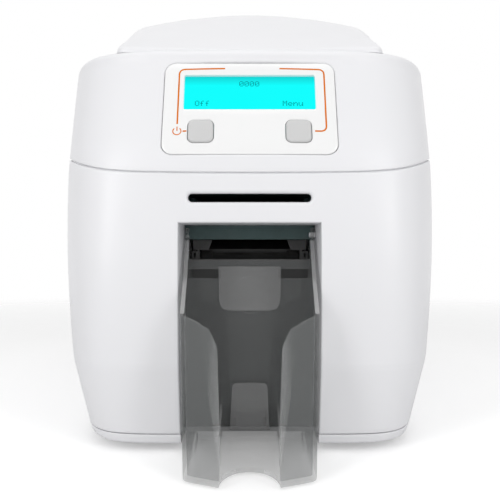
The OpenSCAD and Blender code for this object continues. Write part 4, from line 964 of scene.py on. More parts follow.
for side in (-1, 1):
    for depth in LID_BOSS_DEPTHS:
        profile = sleeve(LINER_TOP + 0.2, ROOF_Z - WALL / 2, LID_BOSS_R, SCREW_R + BORE_PLAY)
        turned(lid, profile, (side * LID_BOSS_X, depth, 0), "z")
    x = lid_knuckle(lid, side, HINGE_X - LEAF_W / 2, HINGE_X + LEAF_W / 2)
    soft_block(lid, x, LEAF_DEPTHS, (HINGE_Z + 1, HINGE_Z + 8), LEAF_SOFT)
    x = door_knuckle(lid, side, *FIXED_KNUCKLE)
    soft_block(lid, x, (HUMP_BACK - 1, DOOR_HINGE_Y - 1.3), (DOOR_HINGE_Z - 6, DOOR_HINGE_Z), LEAF_SOFT)
lid_skin = lid.build("lid_skin", "lid", "casing_white", replaces=["lid_shell"])

# %% [markdown]
# ## The door over the magazine
# The rear of the hump opens so that cards can be dropped in. It is cut out of the same moulding, so
# the lid's skin is divided by two boxes: a larger one that clears the lid, and a smaller one that
# keeps the door.

# %% Door
DOOR_W, DOOR_DEPTH, DOOR_GAP = 67.0, 242.0, 0.6
door_skin = lid_skin.copy()
door_skin.data = lid_skin.data.copy()
door_skin.name = "door_skin"
del door_skin["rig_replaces"]
bpy.context.scene.collection.objects.link(door_skin)


def door_box(name, less):
    box = Surface()
    depth = (DOOR_DEPTH + less, BODY_D + 20)
    outline = round_outline(DOOR_W - 2 * less, depth[1] - depth[0], 3.0, (0, sum(depth) / 2))
    prism(box, outline, DOOR_Z + less, HUMP_Z + 20, "z")
    return cutter(box, name)


carve(lid_skin, door_box("door_hole", 0))
carve(door_skin, door_box("door_keep", DOOR_GAP), "INTERSECT")
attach(door_skin, "card_door")
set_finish(door_skin, "casing_white")
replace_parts(door_skin, "hopper_door")

door_leaf = Surface()
for side in (-1, 1):
    x = door_knuckle(door_leaf, side, *DOOR_KNUCKLE)
    arm, foot = (DOOR_HINGE_Z + 1.4, DOOR_HINGE_Z + 6), (DOOR_HINGE_Z + 3.6, DOOR_HINGE_Z + 5.9)
    soft_block(door_leaf, x, (HUMP_BACK + 0.4, DOOR_HINGE_Y + DOOR_HINGE_R), arm, LEAF_SOFT)
    x = (x[0] + 0.1, x[1] - 0.1)
    soft_block(door_leaf, x, (HUMP_BACK - 1, DOOR_HINGE_Y + 2.4), foot, LEAF_SOFT)
door_leaf.build("door_knuckles", "card_door", "casing_white")

# %% [markdown]
# ## The control panel
# A separate, glossier plate carries the display window and the two keys. It has square-cut holes
# with barely broken edges, so its top is triangulated between its outline and its holes, with extra
# points that follow the bow.

# %% Panel: plate
WINDOW = (68.5, 21.2, 0.9, (0.0, 37 - PANEL_H / 2))
KEY, KEY_X, KEY_V, KEY_R = 13.0, 25.0, 13 - PANEL_H / 2, 3.0
BREAK = 0.35


def ring_of(width, height, radius, centre, out):
    return round_outline(width + 2 * out, height + 2 * out, radius + out, centre, 8)


def inside(point, width, height, radius, centre, out):
    across, up = abs(point[0] - centre[0]), abs(point[1] - centre[1])
    w, h, r = width / 2 + out, height / 2 + out, radius + out
    corner = math.hypot(max(0, across - w + r), max(0, up - h + r))
    return across <= w and up <= h and corner <= r


def plate_sheet(surface, border, holes, lift_point):
    """Triangles between a border and holes, with a grid of points between them to follow the bow."""
    loops = [ring_of(*border)] + [ring_of(*h) for h in holes]
    flat, edges = [], []
    for loop in loops:
        start = len(flat)
        flat += loop
        edges += [(start + i, start + (i + 1) % len(loop)) for i in range(len(loop))]
    for across in steps(-border[0] / 2, border[0] / 2, 30):
        for up in steps(-border[1] / 2, border[1] / 2, 12):
            clear = all(not inside((across, up), *h[:4], h[4] + 0.6) for h in holes)
            if clear and inside((across, up), *border[:4], border[4] - 0.6):
                flat.append((across, up))
    _, _, triangles, origin, _, _ = delaunay_2d_cdt([Vector(p) for p in flat], edges, [], 0, 1e-4, True)
    for tri in triangles:
        points = [flat[origin[i][0]] for i in tri]
        middle = tuple(sum(c) / 3 for c in zip(*points))
        if inside(middle, *border) and not any(inside(middle, *h) for h in holes):
            surface.face(*[lift_point(*p) for p in points])


FLANGE_FRONT, FLANGE_BACK = 2.8, 4.1
plate_border = (PANEL_W, PANEL_H, PANEL_R, (0, 0))
flange_border = (PANEL_W + 4, PANEL_H + 3, PANEL_R + 1, (0, 0))
plate_holes = [WINDOW] + [(KEY + 0.6, KEY + 0.6, KEY_R + 0.3, (s * KEY_X, KEY_V)) for s in (-1, 1)]
panel = Surface()
plate_sheet(
    panel,
    (*plate_border, -BREAK),
    [(*h, BREAK) for h in plate_holes],
    lambda a, u: slope_lift(a, u, 0),
)
for shape, sign in [(plate_border, -1)] + [(h, 1) for h in plate_holes]:
    rows = []
    for t in (0, 30, 60, 90):
        a = math.radians(t)
        ring = ring_of(*shape, sign * BREAK * (1 - math.sin(a)))
        rows.append([slope_lift(*p, BREAK * (1 - math.cos(a))) for p in ring])
    rows.append([slope_lift(*p, FLANGE_FRONT) for p in ring_of(*shape, 0)])
    if sign < 0:
        flange = ring_of(*flange_border, 0)
        rows += [[slope_lift(*p, behind) for p in flange] for behind in (FLANGE_FRONT, FLANGE_BACK)]
    else:
        rows.append([slope_lift(*p, FLANGE_BACK) for p in ring_of(*shape, 0)])
    panel.strips(rows)
plate_sheet(
    panel,
    (*flange_border, 0),
    [(*h, 0) for h in plate_holes],
    lambda a, u: slope_lift(a, u, FLANGE_BACK),
)
panel.build("panel_plate", "lid", "panel_white", replaces=["control_panel"])

# %% Panel: keys
KEY_PROUD, KEY_SOFT, KEY_DOME = 0.9, 1.1, 0.25
KEY_FLANGE, FLANGE_LOW, FLANGE_TOP = 2.4, -8.9, -6.8


def make_key(side):
    """A key with a flange behind the panel, rounded shoulders and a slightly domed top."""
    key = Surface()
    centre = (side * KEY_X, KEY_V)
    rows = [[slope_plane(*p, n) for p in round_outline(KEY + w, KEY + w, KEY_R, centre, 8)]
            for w, n in ((KEY_FLANGE, FLANGE_LOW), (KEY_FLANGE, FLANGE_TOP), (0, FLANGE_TOP))]
    for t in (0, 18, 36, 54, 72, 90):
        a = math.radians(t)
        less = 2 * KEY_SOFT * (1 - math.cos(a))
        ring = round_outline(KEY - less, KEY - less, KEY_R - less / 2, centre, 8)
        rows.append([slope_plane(*p, KEY_PROUD - KEY_DOME - KEY_SOFT * (1 - math.sin(a))) for p in ring])
    flat_top = round_outline(KEY - 2 * KEY_SOFT, KEY - 2 * KEY_SOFT, KEY_R - KEY_SOFT, centre, 8)
    for share in (0.8, 0.5, 0.2):
        lift = KEY_PROUD - KEY_DOME * share * share
        rows.append([
            slope_plane(centre[0] + (a - centre[0]) * share, centre[1] + (u - centre[1]) * share, lift)
            for a, u in flat_top])
    key.strips(rows)
    key.fan(rows[-1], slope_plane(*centre, KEY_PROUD))
    key.face(*rows[0])
    name = "left" if side < 0 else "right"
    key.build(f"{name}_key_cap", f"{name}_key", "button_grey", replaces=[f"{name}_button"])


make_key(-1)
make_key(1)

# %% [markdown]
# ## Print on the panel
# Two orange lines frame the panel and tie the power key to its symbol. They are screen-printed,
# which leaves a film that is only just proud of the surface, so each is a ribbon that follows the
# bowed face a few hundredths above it. The rest of the panel is plain.


# %% Ribbons
FILM, FILM_UNDER = 0.04, 0.01


def smooth_path(corners, radius, turn_steps=8):
    """A path through corners, with each inner corner rounded."""
    path = [corners[0]]
    for before, corner, after in zip(corners, corners[1:], corners[2:]):
        a, c, b = Vector(before), Vector(corner), Vector(after)
        start, end = c + (a - c).normalized() * radius, c + (b - c).normalized() * radius
        for i in range(turn_steps + 1):
            t = i / turn_steps
            path.append(tuple((1 - t) ** 2 * start + 2 * t * (1 - t) * c + t * t * end))
    path.append(corners[-1])
    return path


def refine(path, step=1.5):
    fine = [path[0]]
    for a, b in zip(path, path[1:]):
        n = max(1, math.ceil(math.dist(a, b) / step))
        fine += [(a[0] + (b[0] - a[0]) * i / n, a[1] + (b[1] - a[1]) * i / n) for i in range(1, n + 1)]
    return fine


def ribbon(surface, path, width, lift_point, closed=False):
    """A thin band along a path on the panel, from just under its face to FILM above it."""
    path = refine(path)
    left, right = [], []
    n = len(path)
    for i, p in enumerate(path):
        a = path[i - 1] if i or closed else p
        b = path[(i + 1) % n] if i < n - 1 or closed else p
        d = Vector((b[0] - a[0], b[1] - a[1])).normalized() * width / 2
        left.append((p[0] - d.y, p[1] + d.x))
        right.append((p[0] + d.y, p[1] - d.x))
    rows = [[lift_point(*p, behind) for p in edge] for edge, behind in
            ((left, FILM_UNDER), (left, -FILM), (right, -FILM), (right, FILM_UNDER))]
    for a, b in zip(rows, rows[1:] + rows[:1]):
        surface.strip(a, b, closed)
    if not closed:
        surface.face(*[r[0] for r in rows])
        surface.face(*[r[-1] for r in rows])


def on_panel(across, up, behind):
    return slope_lift(across, up - PANEL_H / 2, behind)


LINE, THIN_LINE, LINE_TURN = 0.85, 0.55, 3.2
LEFT, RIGHT, TOP, KEY_LEVEL = -37.1, 39.2, 51.2, 13.2
POWER_R, POWER_OPEN = 2.1, 40
power_turn = [math.radians(a) for a in range(POWER_OPEN, 361 - POWER_OPEN, 14)]
power_ring = [(LEFT + POWER_R * math.sin(a), KEY_LEVEL + POWER_R * math.cos(a)) for a in power_turn]
frame_lines = Surface()
for path, width in (
    (smooth_path([(LEFT, 17.5), (LEFT, TOP), (-13, TOP)], LINE_TURN), LINE),
    (smooth_path([(15.7, TOP), (RIGHT, TOP), (RIGHT, KEY_LEVEL), (33.3, KEY_LEVEL)], LINE_TURN), LINE),
    ([(-34.2, KEY_LEVEL), (-32.2, KEY_LEVEL)], LINE),
    (power_ring, THIN_LINE),
    ([(LEFT, 13.4), (LEFT, 15.9)], THIN_LINE),
):
    ribbon(frame_lines, path, width, on_panel)
frame_lines.build("panel_print", "lid", "panel_white", angle=math.radians(60))

# %% [markdown]
# ## The display's marks
# A character display of this kind shows each sign as a block of five by seven square dots. Each dot
# is a thin tile just above the glass. The signs are plain: a row of noughts, and the two words that
# tell what the keys do.

# %% Display marks
DOT, DOT_PITCH, SIGN_PITCH = 0.4, 0.46, 6
DISPLAY_BACK = 2.0
CORNERS = ((-0.5, -0.5), (0.5, -0.5), (0.5, 0.5), (-0.5, 0.5))
SIGNS = {
    "0": (14, 17, 19, 21, 25, 17, 14),
    "O": (14, 17, 17, 17, 17, 17, 14),
    "f": (6, 8, 8, 28, 8, 8, 8),
    "M": (17, 27, 21, 21, 17, 17, 17),
    "e": (0, 0, 14, 17, 31, 16, 14),
    "n": (0, 0, 22, 25, 17, 17, 17),
    "u": (0, 0, 17, 17, 17, 19, 13),
}


def dot_tile(surface, across, up):
    """A tile on the display, which is flat and lies DISPLAY_BACK behind the face."""
    rows = []
    for behind in (DISPLAY_BACK + 0.02, DISPLAY_BACK - 0.05):
        rows.append([slope_plane(across + dx * DOT, up - PANEL_H / 2 + dv * DOT, -behind)
                     for dx, dv in CORNERS])
    surface.strip(*rows)
    surface.face(*rows[0])
    surface.face(*rows[1])


def write_signs(surface, text, left, top):
    """Each row of a sign is a number whose five bits are its dots."""
    for k, sign in enumerate(text):
        for row, bits in enumerate(SIGNS[sign]):
            for column in range(5):
                if bits >> (4 - column) & 1:
                    dot_tile(surface, left + (SIGN_PITCH * k + column) * DOT_PITCH, top - row * DOT_PITCH)


marks = Surface()
write_signs(marks, "0000", -5.3, 44.3)
write_signs(marks, "Off", -28.3, 32.2)
write_signs(marks, "Menu", 17.4, 32.2)
marks.build("display_marks", "lid", "lcd_cyan")

# %% [markdown]
# ## The card stacker
# The stacker is one clear, smoke-tinted moulding, and clear plastic shows its shape only where its
# edges catch the light. The solid in the frame has knife edges, front corners that stand too tall
# and a small tooth on each side of its front gap, so a copy of it is worked on like a casting on
# the bench. Two cuts trim the side walls and the front rim to their curves, its triangles are
# joined into whole faces, and every edge is rounded by a few tenths of a millimetre. The faces are
# then put in three zones, so that paler tints can paint a highlight on the rims and light from
# above on the floor. Plates and a ring on the back wall are laid on, so that they show as one more
# layer, in a paler tint that is painted light.

# %% Stacker: trim the walls
TRIM_SIDE = [(-80, 300), (-80, 73.2), (-15.5, 74.2), (8, 91), (26.5, 108.4), (26.5, 300)]
TRIM_RIM = [(14.75, 61), (14.95, 64.6), (15.6, 66.8), (16.7, 68.2), (18.4, 69), (23, 70.4), (30.9, 73.4),
            (30.9, 300)]
GAP_LOW = (12.9, 14.0)
RIM_DEPTHS = (-80.0, -12.0)

stacker_copy = frame["nodes"]["output_stacker"].copy()
stacker_copy.data = stacker_copy.data.copy()
stacker_copy.name = "stacker_blank"
bpy.context.scene.collection.objects.link(stacker_copy)
side_cut, rim_cut = Surface(), Surface()
prism(side_cut, TRIM_SIDE, -60, 60, "x")
right_rim = [GAP_LOW, *TRIM_RIM]
prism(rim_cut, right_rim + [(-x, z) for x, z in reversed(right_rim)], *RIM_DEPTHS, "y")
carve(stacker_copy, cutter(side_cut, "side_cut"))
carve(stacker_copy, cutter(rim_cut, "rim_cut"))


# %% Stacker: round every edge
RIM_WIDTH, RIM_LOW, GAP_HALF, FRONT_WALL = 2.6, 60.0, 16.0, -14.0
FLOOR_TOP = 22.0
RIM_ZONE, FLOOR_ZONE = 1, 2
WELD, FLAT_ANGLE, HARD_ANGLE, SHADE_ANGLE = 0.002 * MM, math.radians(0.6), math.radians(40), math.radians(35)


def takes_rim_highlight(face):
    """Whether a face is part of the thin rim around the tray's open top and front, whose paler tint is a
    painted highlight.
    """
    middle = face.calc_center_median() / MM
    depth = middle.y - face_shift
    width = 2 * face.calc_area() / face.calc_perimeter() / MM
    top = middle.z > RIM_LOW and face.normal.z > 0.35
    gap = depth < FRONT_WALL and abs(middle.x) < GAP_HALF and abs(face.normal.x) > 0.7
    return width < RIM_WIDTH and (top or gap)


def lies_on_floor(face):
    """Whether a face belongs to the tray's floor, whose paler tint is painted light from overhead."""
    middle = face.calc_center_median() / MM
    return middle.z < FLOOR_TOP and abs(face.normal.z) > 0.6


def rounded_copy(blank, new_name, body, slot, edge):
    """Joins flat triangles into faces, rounds every hard edge and puts the rims and the floor in zones."""
    bm = bmesh.new()
    bm.from_mesh(blank.data)
    bmesh.ops.remove_doubles(bm, verts=bm.verts, dist=WELD)
    bmesh.ops.dissolve_limit(bm, angle_limit=FLAT_ANGLE, verts=bm.verts, edges=bm.edges)
    sharp = [e for e in bm.edges if len(e.link_faces) == 2 and e.calc_face_angle() > HARD_ANGLE]
    # Bevel faces go to the rim zone too, so its paler tint paints a highlight on every rounded edge.
    bmesh.ops.bevel(bm, geom=sharp, offset=edge * MM, segments=2, affect="EDGES", profile=0.5,
                    clamp_overlap=True, material=RIM_ZONE)
    for f in bm.faces:
        if takes_rim_highlight(f):
            f.material_index = RIM_ZONE
        elif lies_on_floor(f):
            f.material_index = FLOOR_ZONE
    mesh = bpy.data.meshes.new(new_name)
    bm.to_mesh(mesh)
    bm.free()
    obj = bpy.data.objects.new(new_name, mesh)
    bpy.context.scene.collection.objects.link(obj)
    soften(obj, SHADE_ANGLE)
    even = obj.modifiers.new("even_faces", "WEIGHTED_NORMAL")
    even.weight, even.keep_sharp = 100, True
    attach(obj, body)
    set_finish(obj, slot)
    report(obj)
    return obj


stacker_tray = rounded_copy(stacker_copy, "stacker_tray", "stacker", "smoked_plastic", 0.3)
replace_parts(stacker_tray, "output_stacker")
bpy.data.objects.remove(stacker_copy)

# %% Stacker: plates and ring on its back wall
HALF_TAB = [(11, 71), (14, 71.7), (15.9, 73.6), (16.7, 77), (17, 95)]
TAB = [(-x, z) for x, z in reversed(HALF_TAB)] + HALF_TAB
BOSS_PLATE = [(-10.7, 6.4), (10.7, 6.4), (9.6, 29), (8.9, 31), (7.4, 31.8), (-7.4, 31.8), (-8.9, 31),
              (-9.6, 29)]
TAB_DEPTHS, BOSS_PLATE_DEPTHS, RING_DEPTHS = (34.92, 35.6), (33.92, 34.6), (34.8, 34.9)
RING_Z, RING_R, RING_LINE, RING_TURN = 79.6, 10.0, 0.12, 64
plates = Surface()
prism(plates, TAB, *TAB_DEPTHS, "y")
prism(plates, BOSS_PLATE, *BOSS_PLATE_DEPTHS, "y")
front, back = RING_DEPTHS
thin, wide = RING_R - RING_LINE, RING_R + RING_LINE
turned(plates, [(front, thin), (front, wide), (back, wide), (back, thin)], (0, 0, RING_Z), "y", RING_TURN)
plates.build("stacker_plates", "stacker", "smoked_plastic")

# %% [markdown]
# ## Shader wiring
# A material is a small network. The helper below adds a node, sets its plain values and links
# whatever is given as a socket, so that a network reads from top to bottom like a recipe.

# %% Shader wiring


class Wires:
    """Adds nodes to a tree: an input given as a socket is linked, any other is set."""

    def __init__(self, tree):
        self.tree = tree

    def node(self, kind, inputs=None, **settings):
        new = self.tree.nodes.new("ShaderNode" + kind)
        for key, value in settings.items():
            setattr(new, key, value)
        for key, value in (inputs or {}).items():
            if isinstance(value, bpy.types.NodeSocket):
                self.tree.links.new(value, new.inputs[key])
            else:
                new.inputs[key].default_value = value
        return new

    def math(self, operation, *values):
        return self.node("Math", dict(enumerate(values)), operation=operation).outputs[0]

    def mix(self, factor, first, second, blend="MIX"):
        sockets = {0: factor, 6: first, 7: second}
        return self.node("Mix", sockets, data_type="RGBA", blend_type=blend).outputs[2]

    def remap(self, value, low, high, new_low=0.0, new_high=1.0):
        return self.node("MapRange", {0: value, 1: low, 2: high, 3: new_low, 4: new_high}).outputs[0]

    def noise(self, vector, scale, detail=2.0):
        return self.node("TexNoise", {"Vector": vector, "Scale": scale, "Detail": detail}).outputs[0]

    def here(self):
        return self.node("TexCoord").outputs["Object"]


def new_group(name, inputs, outputs):
    """A shader node group with named sockets; gives its wires, its inputs and a way to fill its outputs."""
    group = bpy.data.node_groups.new(name, "ShaderNodeTree")
    kinds = {"colour": "NodeSocketColor", "value": "NodeSocketFloat", "vector": "NodeSocketVector"}
    for label, kind, default in inputs:
        group.interface.new_socket(label, in_out="INPUT", socket_type=kinds[kind]).default_value = default
    for label, kind in outputs:
        group.interface.new_socket(label, in_out="OUTPUT", socket_type=kinds[kind])
    start, end = group.nodes.new("NodeGroupInput"), group.nodes.new("NodeGroupOutput")

    def give(label, socket):
        group.links.new(socket, end.inputs[label])

    return group, Wires(group), start.outputs, give


WHITE, BLACK = (1, 1, 1, 1), (0, 0, 0, 1)

# %% [markdown]
# ## Effects that the finishes share
# Moulded plastic has a fine spark-eroded grain and a tone that drifts a little from place to place.
# Handled edges polish lighter. Dust settles on what faces up. Ground and rolled metal has fine
# lines in one direction. Each is a node group, so each finish can use the same effect with its own
# numbers.

# %% Effect: moulded grain
grain_group, w, given, give = new_group(
    "moulded_grain",
    [("Color", "colour", WHITE), ("Cell mm", "value", 0.5), ("Mottle", "value", 0.01),
     ("Roughness", "value", 0.4), ("Scatter", "value", 0.05)],
    [("Color", "colour"), ("Roughness", "value"), ("Height", "value")],
)
here = w.here()
grain = w.noise(here, w.math("DIVIDE", 1000.0, given["Cell mm"]))
drift = w.math("MULTIPLY", w.remap(w.noise(here, 22.0, 3.0), 0.3, 0.7, -1.0, 1.0), given["Mottle"])
tone = w.math("ADD", 1.0, drift)
shade = w.node("CombineColor", {0: tone, 1: tone, 2: tone}).outputs[0]
give("Color", w.mix(1.0, given["Color"], shade, "MULTIPLY"))
rough = w.math("MULTIPLY", w.remap(w.noise(here, 60.0, 4.0), 0.3, 0.7, -1.0, 1.0), given["Scatter"])
give("Roughness", w.math("ADD", given["Roughness"], rough))
give("Height", grain)

# %% Effect: handled edges
edge_group, w, given, give = new_group(
    "handled_edges",
    [("Color", "colour", WHITE), ("Worn Color", "colour", WHITE), ("Wear", "value", 0.2)],
    [("Color", "colour"), ("Mask", "value")],
)
rim = w.remap(w.node("NewGeometry").outputs["Pointiness"], 0.515, 0.6)
patchy = w.math("MULTIPLY", rim, w.remap(w.noise(w.here(), 180.0, 3.0), 0.35, 0.6))
mask = w.math("MULTIPLY", patchy, given["Wear"])
give("Color", w.mix(mask, given["Color"], given["Worn Color"]))
give("Mask", mask)

# %% Effect: settled dust
dust_group, w, given, give = new_group(
    "settled_dust",
    [("Color", "colour", WHITE), ("Dust Color", "colour", (0.5, 0.48, 0.45, 1)), ("Amount", "value", 0.1)],
    [("Color", "colour"), ("Mask", "value")],
)
up = w.node("SeparateXYZ", {0: w.node("NewGeometry").outputs["Normal"]}).outputs[2]
clumps = w.remap(w.noise(w.here(), 90.0, 5.0), 0.3, 0.75)
mask = w.math("MULTIPLY", w.math("MULTIPLY", w.remap(up, 0.4, 1.0), clumps), given["Amount"])
give("Color", w.mix(mask, given["Color"], given["Dust Color"]))
give("Mask", mask)

# %% Effect: ground lines
lines_group, w, given, give = new_group(
    "ground_lines",
    [("Color", "colour", WHITE), ("Fineness", "vector", (1.0, 1.0, 1.0)), ("Contrast", "value", 0.1),
     ("Roughness", "value", 0.3), ("Scatter", "value", 0.1)],
    [("Color", "colour"), ("Roughness", "value"), ("Height", "value")],
)
stretched = w.node("VectorMath", {0: w.here(), 1: given["Fineness"]}, operation="MULTIPLY").outputs[0]
streak = w.noise(stretched, 1000.0, 3.0)
swing = w.remap(streak, 0.3, 0.7, -1.0, 1.0)
tone = w.math("ADD", 1.0, w.math("MULTIPLY", swing, given["Contrast"]))
shade = w.node("CombineColor", {0: tone, 1: tone, 2: tone}).outputs[0]
give("Color", w.mix(1.0, given["Color"], shade, "MULTIPLY"))
give("Roughness", w.math("ADD", given["Roughness"], w.math("MULTIPLY", swing, given["Scatter"])))
give("Height", streak)
print("node groups:", [g.name for g in bpy.data.node_groups])

# %% [markdown]
# ## The finishes
# The record that came with the frame names a slot for each piece, with a base colour, and each slot
# becomes one finish here. Colours are written as they look on a screen and are turned into light
# values first. Grain, wear and dust come from the groups, while gloss, metal and clear plastic stay
# on the shader's own sockets.

# %% From colours to light
SLOT_COLOURS = {m["slot"]: m["base_color"] for m in frame["record"]["materials"]}


def light_value(colour):
    """A screen colour as linear light."""
    linear = [c / 12.92 if c <= 0.04045 else ((c + 0.055) / 1.055) ** 2.4 for c in colour[:3]]
    return (*linear, 1.0)


def plain_finish(name):
    material = bpy.data.materials.new(name)
    material.use_nodes = True
    return material, Wires(material.node_tree), material.node_tree.nodes["Principled BSDF"]


def group_node(w, group, inputs):
    node = w.node("Group", node_tree=group)
    for key, value in inputs.items():
        if isinstance(value, bpy.types.NodeSocket):
            w.tree.links.new(value, node.inputs[key])
        else:
            node.inputs[key].default_value = value
    return node.outputs


def paint(w, shader, colour, roughness):
    w.tree.links.new(colour, shader.inputs["Base Color"])
    w.tree.links.new(roughness, shader.inputs["Roughness"])


def paint_aged(w, shader, body, worn, wear, dust):
    """Sends a body's colour through worn edges and dust on its way to the shader."""
    edges = group_node(w, edge_group, {"Color": body["Color"], "Worn Color": worn, "Wear": wear})
    dusty = group_node(w, dust_group, {"Color": edges["Color"], "Amount": dust})
    paint(w, shader, dusty["Color"], body["Roughness"])


def add_bump(w, shader, height, strength, distance_mm):
    bump = w.node("Bump", {"Strength": strength, "Distance": distance_mm * MM, "Height": height})
    w.tree.links.new(bump.outputs[0], shader.inputs["Normal"])


finishes = {}

# %% Finish: moulded and cast
GRAIN_DEPTH = 0.03


def moulded(slot, roughness, cell=0.5, mottle=0.012, scatter=0.04, bump=0.1, wear=0.15, dust=0.05,
            tint=None, **own):
    """A moulded, cast or painted finish. own sets the shader's own sockets."""
    material, w, shader = plain_finish(slot)
    colour = light_value(tint or SLOT_COLOURS[slot])
    body = group_node(w, grain_group, {
        "Color": colour, "Cell mm": cell, "Mottle": mottle, "Roughness": roughness, "Scatter": scatter})
    worn = tuple(min(1.0, c * 1.25 + 0.02) for c in colour[:3]) + (1.0,)
    paint_aged(w, shader, body, worn, wear, dust)
    add_bump(w, shader, body["Height"], bump, GRAIN_DEPTH)
    for socket, value in own.items():
        shader.inputs[socket.replace("_", " ")].default_value = value
    finishes[slot] = material


moulded("casing_white", 0.36, cell=0.6, mottle=0.006, bump=0.05, wear=0.3, dust=0.0)
moulded("panel_white", 0.16, cell=1.5, mottle=0.003, scatter=0.02, bump=0.02, wear=0.0, dust=0.0,
        Coat_Weight=0.4)
moulded("panel_orange", 0.35, tint=(0.85, 0.46, 0.02), cell=0.2, bump=0.05, wear=0.0, dust=0.0,
         Specular_IOR_Level=0.1)
moulded("button_grey", 0.5, cell=0.3, mottle=0.008, bump=0.12, wear=0.0, dust=0.0)
moulded("teal_black", 0.42, cell=0.4, mottle=0.04, wear=0.2, dust=0.05)
moulded("black_plastic", 0.45, cell=0.4, mottle=0.05, wear=0.3, dust=0.08)
moulded("liner_grey", 0.5, cell=0.8, mottle=0.02, bump=0.15, dust=0.08)
moulded("rubber_black", 0.8, cell=0.25, mottle=0.08, bump=0.4, wear=0.0, dust=0.15)
moulded("cleaning_rubber", 0.3, cell=0.6, mottle=0.05, bump=0.1, wear=0.0, dust=0.1)
moulded("gear_white", 0.4, cell=0.3, mottle=0.02, wear=0.2, dust=0.05, Subsurface_Weight=0.1,
        Subsurface_Scale=0.001)
moulded("bush_tan", 0.6, cell=0.2, mottle=0.06, bump=0.3, wear=0.2)
moulded("motor_black", 0.35, cell=0.35, mottle=0.05, bump=0.35, wear=0.5, dust=0.1)
moulded("film_red", 0.12, cell=3.0, mottle=0.04, bump=0.03, wear=0.0, dust=0.0, Coat_Weight=0.5)
moulded("film_blue", 0.12, cell=3.0, mottle=0.04, bump=0.03, wear=0.0, dust=0.0, Coat_Weight=0.5)
print("moulded finishes:", len(finishes))

# %% Finish: metals
LINE_DEPTH = 0.01


def ground(slot, roughness, fineness, contrast=0.06, scatter=0.06, bump=0.08, wear=0.1, dust=0.04):
    """A metal with lines that run where fineness is smallest."""
    material, w, shader = plain_finish(slot)
    colour = light_value(SLOT_COLOURS[slot])
    body = group_node(w, lines_group, {
        "Color": colour, "Fineness": fineness, "Contrast": contrast, "Roughness": roughness,
        "Scatter": scatter})
    paint_aged(w, shader, body, WHITE, wear, dust)
    add_bump(w, shader, body["Height"], bump, LINE_DEPTH)
    shader.inputs["Metallic"].default_value = 1.0
    finishes[slot] = material


ground("zinc_steel", 0.38, (2.0, 0.06, 2.0), contrast=0.1)
ground("bright_steel", 0.2, (3.0, 0.3, 0.3), contrast=0.04)
ground("head_aluminium", 0.32, (0.08, 2.0, 2.0), contrast=0.05)
ground("pinion_brass", 0.25, (3.0, 0.5, 0.5), contrast=0.05)

# %% [markdown]
# ## Finishes made one by one
# The circuit board has copper traces under its green lacquer. The display glows, and a band of
# painted shade darkens the top edge of its glass, where its frame would shade it. The stacker is
# thin smoked plastic: looked at squarely each face hides about a quarter of what lies behind it, and
# edge-on it hides most, so layers add up, as they do on the real tray. Its rims, plates and floor
# are the same plastic in paler tints: a painted highlight on the rims and painted light on the
# plates and floor. Bent light could be computed too, but walls of two millimetres hardly bend it,
# and the layers would turn far too dark.

# %% Finish: circuit board
material, w, shader = plain_finish("board_green")
here = w.here()
squares = w.node("TexBrick", {
    "Vector": here, "Scale": 260.0, "Mortar Size": 0.012, "Color1": BLACK, "Color2": BLACK, "Mortar": WHITE,
}).outputs["Fac"]
pads = w.remap(w.node("TexVoronoi", {"Vector": here, "Scale": 320.0}).outputs["Distance"], 0.22, 0.18)
lacquer = light_value(SLOT_COLOURS["board_green"])
traced = w.mix(w.math("MULTIPLY", squares, 0.6), lacquer, light_value((0.16, 0.5, 0.24)))
soldered = w.math("MULTIPLY", pads, w.remap(w.noise(here, 70.0), 0.5, 0.52))
tinned = w.mix(soldered, traced, light_value((0.75, 0.74, 0.7)))
dusty = group_node(w, dust_group, {"Color": tinned, "Amount": 0.12})
paint(w, shader, dusty["Color"], w.remap(squares, 0.0, 1.0, 0.3, 0.42))
add_bump(w, shader, squares, 0.3, 0.05)
finishes["board_green"] = material

# %% Finish: display
# The cyan turns darker over SHADE_LENGTH below the glass's top edge: painted shade in the emission colour, in
# place of the frame's shadow.
GLASS_UP, SHADE_LENGTH = WINDOW[3][1] + WINDOW[1] / 2, 6.5
LIT_CYAN, PAINTED_SHADE_CYAN = (0.016, 0.992, 0.992), (0.05, 0.79, 0.79)
shade_top = slope_plane(0, GLASS_UP, 0)[2] * MM
shade_end = slope_plane(0, GLASS_UP - SHADE_LENGTH, 0)[2] * MM
material, w, shader = plain_finish("lcd_cyan")
height = w.node("SeparateXYZ", {0: w.here()}).outputs[2]
# glow carries the painted shade along the top of the glass.
glow = w.mix(w.remap(height, shade_end, shade_top), light_value(LIT_CYAN), light_value(PAINTED_SHADE_CYAN))
w.tree.links.new(glow, shader.inputs["Emission Color"])
smudges = group_node(w, grain_group, {
    "Color": light_value((0.0, 0.03, 0.03)), "Cell mm": 2.0, "Mottle": 0.2, "Roughness": 0.35,
    "Scatter": 0.05})
paint(w, shader, smudges["Color"], smudges["Roughness"])
shader.inputs["Emission Strength"].default_value = 1.0
shader.inputs["Specular IOR Level"].default_value = 0.05
finishes["lcd_cyan"] = material

dark_dots, w, shader = plain_finish("dark_dots")
faded = w.mix(w.noise(w.here(), 400.0), light_value((0.02, 0.52, 0.54)), light_value((0.02, 0.6, 0.62)))
w.tree.links.new(faded, shader.inputs["Emission Color"])
shader.inputs["Base Color"].default_value = BLACK
shader.inputs["Emission Strength"].default_value = 1.0
shader.inputs["Specular IOR Level"].default_value = 0.0

# %% Finish: smoked plastic
SMOKE = (0.5, 0.51, 0.51)
# Paler tints of the same smoke: a painted highlight on the rims, painted light on the plates and floor.
RIM_HIGHLIGHT_GREY = (0.8, 0.8, 0.8)
PLATE_LIT_GREY = (0.7, 0.7, 0.7)
FLOOR_LIT_GREY = (0.88, 0.88, 0.88)
TURN_STARTS, EDGE_ON = 0.72, 0.85


